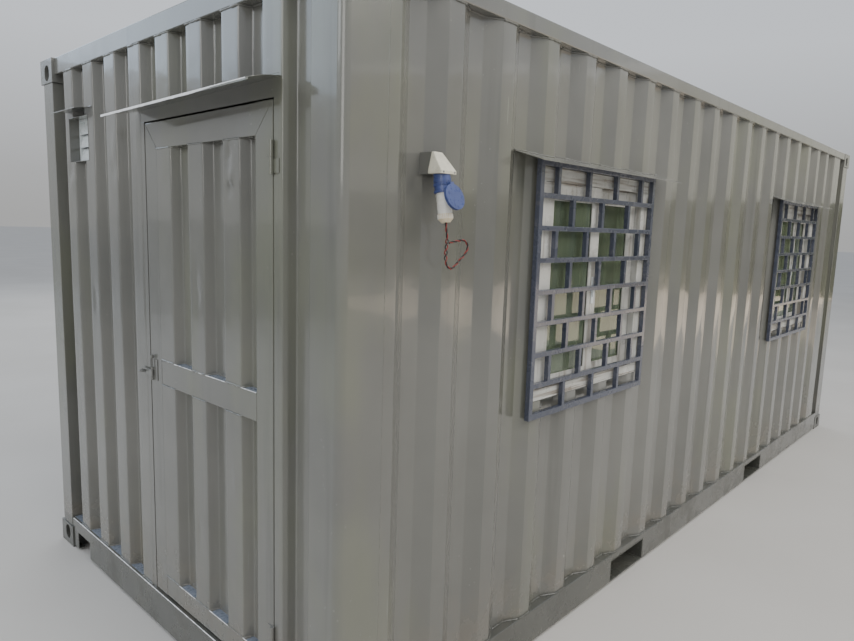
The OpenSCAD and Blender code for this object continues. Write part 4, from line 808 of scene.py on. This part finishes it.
side_low = [(u, -SIDE_Y + d - 0.0015, RAIL_TOP + 0.0015) for u, d in side_line]
side_top = [(u, -SIDE_Y + d - 0.001, TOP_RAIL_Z - 0.0015) for u, d in side_line]
paths = [side_low, side_top] + [[(x, -y, z) for x, y, z in path] for path in (side_low, side_top)]
welds("beads_side_walls", paths, 0.0042, GREY_FRAME)
beside_posts = [upright_bead(-END_X + END_DEPTH, s * (POST_IN_Y - 0.001), SILL_TOP)
                for s in (-1, 1)]
corners = [upright_bead(-INNER_X - 0.001, s * (SIDE_Y + 0.0005), RAIL_TOP) for s in (-1, 1)]
corners += [[(-x, y, z) for x, y, z in path] for path in corners]
welds("beads_ends", [end_bead(JAMB_Y1 + 0.001, POST_IN_Y, SILL_TOP + 0.0015),
                     end_bead(-POST_IN_Y, JAMB_Y0 - 0.001, SILL_TOP + 0.0015),
                     end_bead(-INNER_Y, INNER_Y, END_TOP_Z - 0.0015)] + beside_posts + corners,
      0.0036, GREY_FRAME)

# Windows: gaskets, tracks, catches

# The white frame's outer face, its inset from the grille's edge and its width
WHITE_FACE, WHITE_IN, WHITE_W = -1.205, 0.028, 0.944
# The sashes: inset in the white frame, width, bars, foot, lower edge and height
SASH_IN, SASH_W, SASH_BAR, FOOT = 0.0515, 0.4515, 0.062, 0.046
SASH_Z, SASH_H = HOLE_Z + 0.041, 0.853
for k, wx in enumerate(WINDOWS):
    black, white, steel = [], [], []
    left = wx + WHITE_IN
    right = left + WHITE_W
    z0, z1 = SASH_Z, SASH_Z + SASH_H
    for sx, sy in ((left + SASH_IN, WHITE_FACE + 0.004),
                   (right - SASH_IN - SASH_W, WHITE_FACE + 0.032)):
        gx0, gx1, gz0, gz1 = sx + SASH_BAR, sx + SASH_W - SASH_BAR, z0 + FOOT, z1 - SASH_BAR
        # Gaskets on both faces of the glass
        for y0, y1 in ((sy + 0.0065, sy + 0.0093), (sy + 0.0147, sy + 0.0175)):
            black += [((gx0 - 0.001, y0, gz0), (gx0 + 0.004, y1, gz1)),
                      ((gx1 - 0.004, y0, gz0), (gx1 + 0.001, y1, gz1)),
                      ((gx0, y0, gz0 - 0.001), (gx1, y1, gz0 + 0.004)),
                      ((gx0, y0, gz1 - 0.004), (gx1, y1, gz1 + 0.001))]
        # Glazing beads, a step round the glass on both sides
        for y0, y1 in ((sy + 0.0012, sy + 0.0066), (sy + 0.0174, sy + 0.0228)):
            white += [((gx0 - 0.001, y0, gz0 - 0.001), (gx0 + 0.010, y1, gz1 + 0.001)),
                      ((gx1 - 0.010, y0, gz0 - 0.001), (gx1 + 0.001, y1, gz1 + 0.001)),
                      ((gx0 + 0.010, y0, gz0 - 0.001), (gx1 - 0.010, y1, gz0 + 0.010)),
                      ((gx0 + 0.010, y0, gz1 - 0.010), (gx1 - 0.010, y1, gz1 + 0.001))]
        # Brush seals between the sashes and the frame
        for low, high in ((z1, z1 + 0.0028), (z0 - 0.0002, z0 + 0.0006)):
            black.append(((sx + 0.002, sy + 0.009, low), (sx + SASH_W - 0.002, sy + 0.015, high)))
    # The catch where the sashes meet
    mid = left + WHITE_W / 2
    steel += [((mid - 0.012, WHITE_FACE + 0.0005, z0 + 0.34),
               (mid + 0.010, WHITE_FACE + 0.0045, z0 + 0.46)),
              ((mid - 0.007, WHITE_FACE - 0.0045, z0 + 0.37),
               (mid + 0.005, WHITE_FACE + 0.001, z0 + 0.42))]
    # The lips of the sliding track, at the foot and the head
    for y in (WHITE_FACE + 0.0005, WHITE_FACE + 0.0287, WHITE_FACE + 0.0568):
        for low, high in ((0.040, 0.048), (0.894, 0.899)):
            white.append(((left + 0.050, y, HOLE_Z + low),
                          (left + 0.894, y + 0.0026, HOLE_Z + high)))
    window = "window_%d_" % (k + 1)
    boxes(window + "gaskets", black, BLACK, 0.0)
    boxes(window + "beads", white, UPVC, 0.0008, segments=1)
    boxes(window + "catch", steel, LOUVRE, 0.0012)
    # Sealant smeared round the white frame, in the corner with the steel lining
    low, high = HOLE_Z + 0.003, HOLE_Z + 0.947
    ring = [Vector((x, WHITE_FACE, z)) for x, z in (
        (left, low), (right, low), (right, high), (left, high), (left, low))]
    verts, faces = [], []
    for n, ends in enumerate(zip(ring, ring[1:])):
        tube_into(verts, faces, resample(ends, 0.02), 0.0026, 6, lumps=0.35, seed=n * 5.1 + k)
    add(window + "sealant", verts, faces, [UPVC], "cabin", 70)

# Beads where the rain hoods, the vent's hood and the canopy's root meet the steel
paths = []
for wx in WINDOWS:
    line = cut_line(side_line, wx - 0.115, wx + 1.115, [])
    paths.append([(u, -SIDE_Y + d - 0.0008, 2.0968 + d * 0.3057) for u, d in line])
line = cut_line(end_line, 0.610, 0.910, [])
paths.append([(-END_X + d - 0.0008, u, 2.3128 + d * 0.176) for u, d in line])
welds("beads_hoods", paths, 0.0028, GREY_FRAME, lumps=0.6)
rise, sweep, slope = (math.radians(a) for a in (0.8, 0.5, 13.0))
root = []
for k in range(24):
    u = k / 23 * 1.004 + 0.004
    z = 2.243 + u * math.sin(rise) - u * math.sin(sweep) * math.tan(slope) + 0.0012
    root.append((-END_X - 0.0006, 0.115 - u, z))
welds("beads_canopy", [root], 0.0026, GREY_FRAME, lumps=0.6)

# The canopy's lip, with a painted highlight: a pale line along its outside
LIP = ((-3.1620, 0.1128, 2.2003), (-3.1529, -0.9270, 2.2148))
LIP_STEPS = 104
lip_v, lip_f = [], []
for k in range(LIP_STEPS + 1):
    t = k / LIP_STEPS
    x, y, z = (a + (b - a) * t for a, b in zip(*LIP))
    uneven = 0.0011 * noise.noise(Vector((k * 0.31, 4.0, 0.0)))
    tall = 0.0082 - 0.0052 * step_in(t, 0.68, 0.86) + uneven
    top = z + 0.0083
    for dx, dz in ((-0.0006, top - tall), (-0.0006, top), (0.0004, top), (0.0004, top - tall)):
        lip_v.append(Vector((x + dx, y, dz)))
skin_into(lip_f, 0, LIP_STEPS + 1, 4)
add("canopy_lip_highlight", lip_v, lip_f, [EDGE_HIGHLIGHT], "cabin", 40)

# The leaf's seams

FACE = -END_X - 0.0002
mitres = [[(FACE, y, LEAF_Z1 - 0.004), (FACE, inner, LEAF_HIGH[1] + 0.003)] for y, inner in (
    (LEAF_Y1 - 0.004, LEAF_IN_Y1 + 0.003), (LEAF_Y0 + 0.004, LEAF_IN_Y0 - 0.003))]
for y in (LEAF_IN_Y0, LEAF_IN_Y1):
    mitres.append([(FACE, y, LEAF_LOW[1] + 0.002), (FACE, y, LEAF_HIGH[0] - 0.002)])
    mitres.append([(FACE, y, LEAF_Z0 + 0.004), (FACE, y, LEAF_LOW[0] - 0.002)])
welds("leaf_mitres", mitres, 0.0011, GREY_FRAME, "door", 0.010, 0.7)
edges = [[(-END_X + d - 0.0006, u, z) for u, d in leaf_line]
         for z0, z1 in (LEAF_LOW, LEAF_HIGH) for z in (z0 + 0.0012, z1 - 0.0012)]
welds("leaf_panel_beads", edges, 0.0030, GREY_FRAME, "door")

# Plates that close the stiles' open ends
leaf_lo, leaf_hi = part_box("door_leaf_frame")
caps = [((leaf_lo.x + 0.0006, y + 0.0006, z), (leaf_hi.x - 0.0006, y + STILE - 0.0006, z + 0.0020))
        for y in (LEAF_Y0, LEAF_IN_Y1) for z in (LEAF_Z0 + 0.0004, LEAF_Z1 - 0.0024)]
boxes("leaf_end_caps", caps, GREY_FRAME, 0.0, body="door")

# Ledges under the recesses, with painted sky light on them, and painted highlights along the edges
# before them


def ledge(name, line, z, body):
    """A thin strip of painted sky light on a ledge, from its front edge back to the sheet."""
    spans, run = [], []
    for u, d in line:
        if d > 0.004:
            run.append((u, d))
        elif run:
            spans.append(run)
            run = []
    if run:
        spans.append(run)
    verts, faces = [], []
    for run in spans:
        if len(run) < 2:
            continue
        s = len(verts)
        for u, d in run:
            for x in (-END_X + 0.0015, -END_X + d - 0.0002):
                for h in (-0.0002, 0.0004):
                    verts.append(Vector((x, u, z + h)))
        for i in range(len(run) - 1):
            a, b = s + 4 * i, s + 4 * i + 4
            faces += [(a, b, b + 1, a + 1), (a + 2, a + 3, b + 3, b + 2),
                      (a + 1, b + 1, b + 3, a + 3), (a, a + 2, b + 2, b)]
        last = s + 4 * (len(run) - 1)
        faces += [(s, s + 1, s + 3, s + 2), (last, last + 2, last + 3, last + 1)]
    add(name, verts, faces, [LEDGE_SKYLIGHT], body, 40)


for name, z in (("leaf_skylight_high", LEAF_HIGH[0]), ("leaf_skylight_low", LEAF_LOW[0])):
    ledge(name, leaf_line, z, "door")
ledge("sill_ledge", cut_line(end_line, JAMB_Y1 + 0.001, POST_IN_Y - 0.001, []),
      SILL_TOP, "cabin")
# Painted highlights: pale lines along the front edges of the leaf's ledges and of the sill
highlight_lines = [[(FACE, y, z - 0.0010) for y in (LEAF_IN_Y0 + 0.001, LEAF_IN_Y1 - 0.001)]
        for z in (LEAF_HIGH[0], LEAF_LOW[0])]
welds("leaf_edge_highlights", highlight_lines, 0.0015, EDGE_HIGHLIGHT, "door", lumps=0.6)
sill_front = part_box("door_end_sill")[0].x
welds("sill_edge_highlight", [[(sill_front + 0.0010, y, SILL_TOP - 0.0012) for y in (-1.050, 1.050)]],
      0.0019, EDGE_HIGHLIGHT, lumps=0.6)

# Cargo end: gaskets, rivets, handles

# The doors' outer face, the gap round them, the header's underside, the posts' inner faces and
# the doors' lower and upper edges
CARGO_X, CARGO_GAP = 3.029 - 0.062, 0.012
HEADER_Z = 2.591 - 0.106 - 0.008 + 0.002
CARGO_IN_Y = 1.219 - 0.004 - 0.074
CARGO_Z0, CARGO_Z1 = SILL_TOP + CARGO_GAP, HEADER_Z - CARGO_GAP
BAR_Y = (0.086, INNER_Y - 0.046)
gx0, gx1, inside = CARGO_X - 0.034, CARGO_X - 0.004, CARGO_IN_Y - CARGO_GAP
gasket = []
for s in (-1, 1):
    lo, hi = sorted((s * (CARGO_IN_Y - 0.0118), s * (CARGO_IN_Y - 0.0002)))
    gasket.append(((gx0, lo, CARGO_Z0 - 0.011), (gx1, hi, CARGO_Z1 + 0.011)))
gasket += [((gx0, -0.0056, CARGO_Z0 - 0.011), (gx1, 0.0056, CARGO_Z1 + 0.011)),
           ((gx0, -inside, CARGO_Z0 - 0.0116), (gx1, inside, CARGO_Z0 - 0.0004)),
           ((gx0, -inside, CARGO_Z1 + 0.0004), (gx1, inside, CARGO_Z1 + 0.0116))]
boxes("cargo_gaskets", gasket, BLACK, 0.0015, segments=1)
rivets_v, rivets_f, handle_v, handle_f = [], [], [], []
for s in (-1, 1):
    for y in BAR_Y:
        for z in (CARGO_Z0 + 0.150, (CARGO_Z0 + CARGO_Z1) / 2, CARGO_Z1 - 0.150):
            for dy in (-0.027, 0.027):
                for dz in (-0.016, 0.016):
                    disc_into(rivets_v, rivets_f, (CARGO_X + 0.0298, s * y + dy, z + dz), (1, 0, 0),
                              ((0.0, 0.0062), (0.0022, 0.0060), (0.0042, 0.0036)), 10)
    # A lever on each bar, folded flat against the door, with its hub and catch plate
    for y, far in ((BAR_Y[0], 1), (BAR_Y[1], -1)):
        hub = Vector((CARGO_X + 0.030, s * y, 1.16))
        disc_into(handle_v, handle_f, hub - Vector((0, 0, 0.024)), (0, 0, 1),
                  ((0.0, 0.0235), (0.003, 0.0250), (0.045, 0.0250), (0.048, 0.0235)), 20)
        a = hub + Vector((0.0, s * far * 0.020, 0.0))
        b = hub + Vector((0.004, s * far * 0.36, 0.0))
        tube_into(handle_v, handle_f, resample([a, b], 0.05), 0.0095, 12)
        y0, y1 = sorted((s * y + s * far * 0.285, s * y + s * far * 0.345))
        box_into(handle_v, handle_f, (CARGO_X + 0.0003, y0, 1.105), (CARGO_X + 0.0063, y1, 1.215))
        for z in (1.138, 1.182):
            disc_into(handle_v, handle_f, (CARGO_X + 0.0063, s * y + s * far * 0.315, z), (1, 0, 0),
                      ((0.0, 0.008), (0.024, 0.008), (0.026, 0.0065)), 12)
add("cargo_rivets", rivets_v, rivets_f, [BAR], "cabin", 35)
add("cargo_handles", handle_v, handle_f, [BAR], "cabin", 35)

# Floor screws and the inlet's small parts

screw_v, screw_f = [], []
FLOOR_TOP, SHEETS, JOINT = 0.167, 5, 0.002
sheet_l = (CARGO_X - 0.070 + 3.023 - 0.070 - (SHEETS - 1) * JOINT) / SHEETS
for i in range(SHEETS):
    x0 = -3.023 + 0.070 + i * (sheet_l + JOINT)
    for col in (0.06, 0.35, 0.65, 0.94):
        for n in range(8):
            y = -1.02 + n * 2.04 / 7
            disc_into(screw_v, screw_f, (x0 + col * sheet_l, y, FLOOR_TOP - 0.0004), (0, 0, 1),
                      ((0.0, 0.0065), (0.0012, 0.0062), (0.0016, 0.0048)), 8)
add("floor_screws", screw_v, screw_f, [BAR], "cabin", 35)


def round_inlet(down, r, k, n):
    """A point down the inlet's axis, a radius out and k of n parts of a turn round it."""
    a = 2 * math.pi * k / n
    side = Vector((1, 0, 0))
    return INLET + DOWN * down + (math.cos(a) * side + math.sin(a) * side.cross(DOWN)) * r


# Ribs round both edges of the collar, and ribs and rings on the plug
ribs_v, ribs_f = [], []
for k in range(36):
    p = round_inlet(0.0515, 0.0285, k, 36)
    for h0, h1 in ((0.0, 0.0075), (-0.022, -0.0145)):
        tube_into(ribs_v, ribs_f, [p + DOWN * h0, p + DOWN * h1], 0.0011, 5)
add("inlet_collar_ribs", ribs_v, ribs_f, [BLUE_PL], "cabin", 50)
plug_v, plug_f = [], []
for k in range(24):
    p = round_inlet(0.1275, 0.0240, k, 24)
    tube_into(plug_v, plug_f, [p, p + DOWN * 0.014], 0.0012, 5)
for k in range(3):
    ring = [round_inlet(0.066 + 0.016 * k, 0.0240, q, 40) for q in range(41)]
    tube_into(plug_v, plug_f, ring, 0.0012, 5, cap=False)
add("inlet_plug_ribs", plug_v, plug_f, [PLUG], "cabin", 50)
cap_v, cap_f = [], []
for x in (-0.026, 0.026):
    disc_into(cap_v, cap_f, (INLET.x + x, -1.2825, INLET.z + 0.006), (0, -1, 0),
              ((0.0, 0.0036), (0.0014, 0.0034), (0.0018, 0.0022)), 14)
add("inlet_screws", cap_v, cap_f, [BAR], "cabin", 35)

# Floor, light and world


def make_floor():
    m = Mat("studio_floor", (0.53, 0.51, 0.475), 0.8, Specular_IOR_Level=0.0)
    m.colour([(0.3, (0.51, 0.49, 0.455)), (0.7, (0.55, 0.53, 0.495))], m.noise(0.7, 3, 0.5))
    return m.done()


bpy.ops.mesh.primitive_plane_add(size=240, location=(0, 0, 0))
floor = bpy.context.object
floor.name = "studio_floor"
floor.data.materials.append(make_floor())


def aim(o, place, at, axis):
    """Puts an object in place with its axis turned to a point, hidden from the camera."""
    o.location = place
    o.rotation_euler = (Vector(at) - Vector(place)).to_track_quat(axis, "Y").to_euler()
    o.visible_camera = False


def card(name, place, at, size, colour):
    """A plain matt reflector out of the picture: only its reflection is seen."""
    bpy.ops.mesh.primitive_plane_add(size=1)
    o = bpy.context.object
    o.name = name
    o.scale = (*size, 1)
    aim(o, place, at, "Z")
    o.data.materials.append(Mat(name, colour, 0.9, Specular_IOR_Level=0.0).m)


card("card_side", (15.0, -11.0, 3.4), (1.0, -1.2, 3.2), (24, 6.8), (0.09, 0.10, 0.06))
card("card_end", (-10.5, 6.0, 0.9), (-3.0, 0.0, 0.9), (10, 1.8), (0.20, 0.20, 0.20))

world = bpy.data.worlds.new("world")
world.use_nodes = True
scene.world = world
sky_nodes = world.node_tree.nodes
back = sky_nodes["Background"]
tex = sky_nodes.new("ShaderNodeTexCoord")
sep = sky_nodes.new("ShaderNodeSeparateXYZ")
ramp = sky_nodes.new("ShaderNodeValToRGB")
world.node_tree.links.new(tex.outputs["Generated"], sep.inputs[0])
world.node_tree.links.new(sep.outputs["Z"], ramp.inputs["Fac"])
world.node_tree.links.new(ramp.outputs["Color"], back.inputs["Color"])
SKY = ((0.0, (0.54, 0.54, 0.535)), (0.06, (0.59, 0.595, 0.60)), (0.24, (0.90, 0.94, 1.00)),
       (1.0, (0.78, 0.87, 1.04)))
set_ramp(ramp.color_ramp, SKY)
back.inputs["Strength"].default_value = 0.85


def area(name, place, at, size, watts, colour):
    d = bpy.data.lights.new(name, "AREA")
    d.shape = "RECTANGLE"
    d.size, d.size_y = size
    d.energy = watts
    d.color = colour
    o = bpy.data.objects.new(name, d)
    scene.collection.objects.link(o)
    aim(o, place, at, "-Z")


area("softbox_side", (1.0, -9.5, 8.0), (0.5, -1.2, 1.2), (9, 3.5), 520, (1.0, 0.94, 0.84))
area("ground_glow", (15.0, -8.5, 0.02), (15.0, -8.5, 2.0), (20, 8), 760, (1.0, 0.80, 0.57))
area("softbox_over", (-2.0, -4.0, 8.5), (0, -0.5, 1.2), (8, 5), 330, (1.0, 0.98, 0.95))
area("softbox_end", (-10.0, 1.5, 6.0), (-3, 0, 1.4), (5, 4), 210, (0.90, 0.95, 1.0))
area("softbox_left", (-11.0, -6.0, 4.5), (-1.0, -1.2, 1.5), (5, 4), 190, (1.0, 0.98, 0.94))
area("softbox_far", (-8.0, 14.0, 7.8), (-3.0, 0.5, 2.3), (14, 5), 340, (0.60, 0.78, 1.0))
area("haze_right", (14.3, -10.5, 4.9), (0.3, -0.7, 4.7), (22, 4.0), 175, (1.0, 0.97, 0.88))
area("softbox_back", (5.0, 12.0, 8.0), (1.0, 1.2, 1.2), (10, 4), 420, (1.0, 0.98, 0.95))
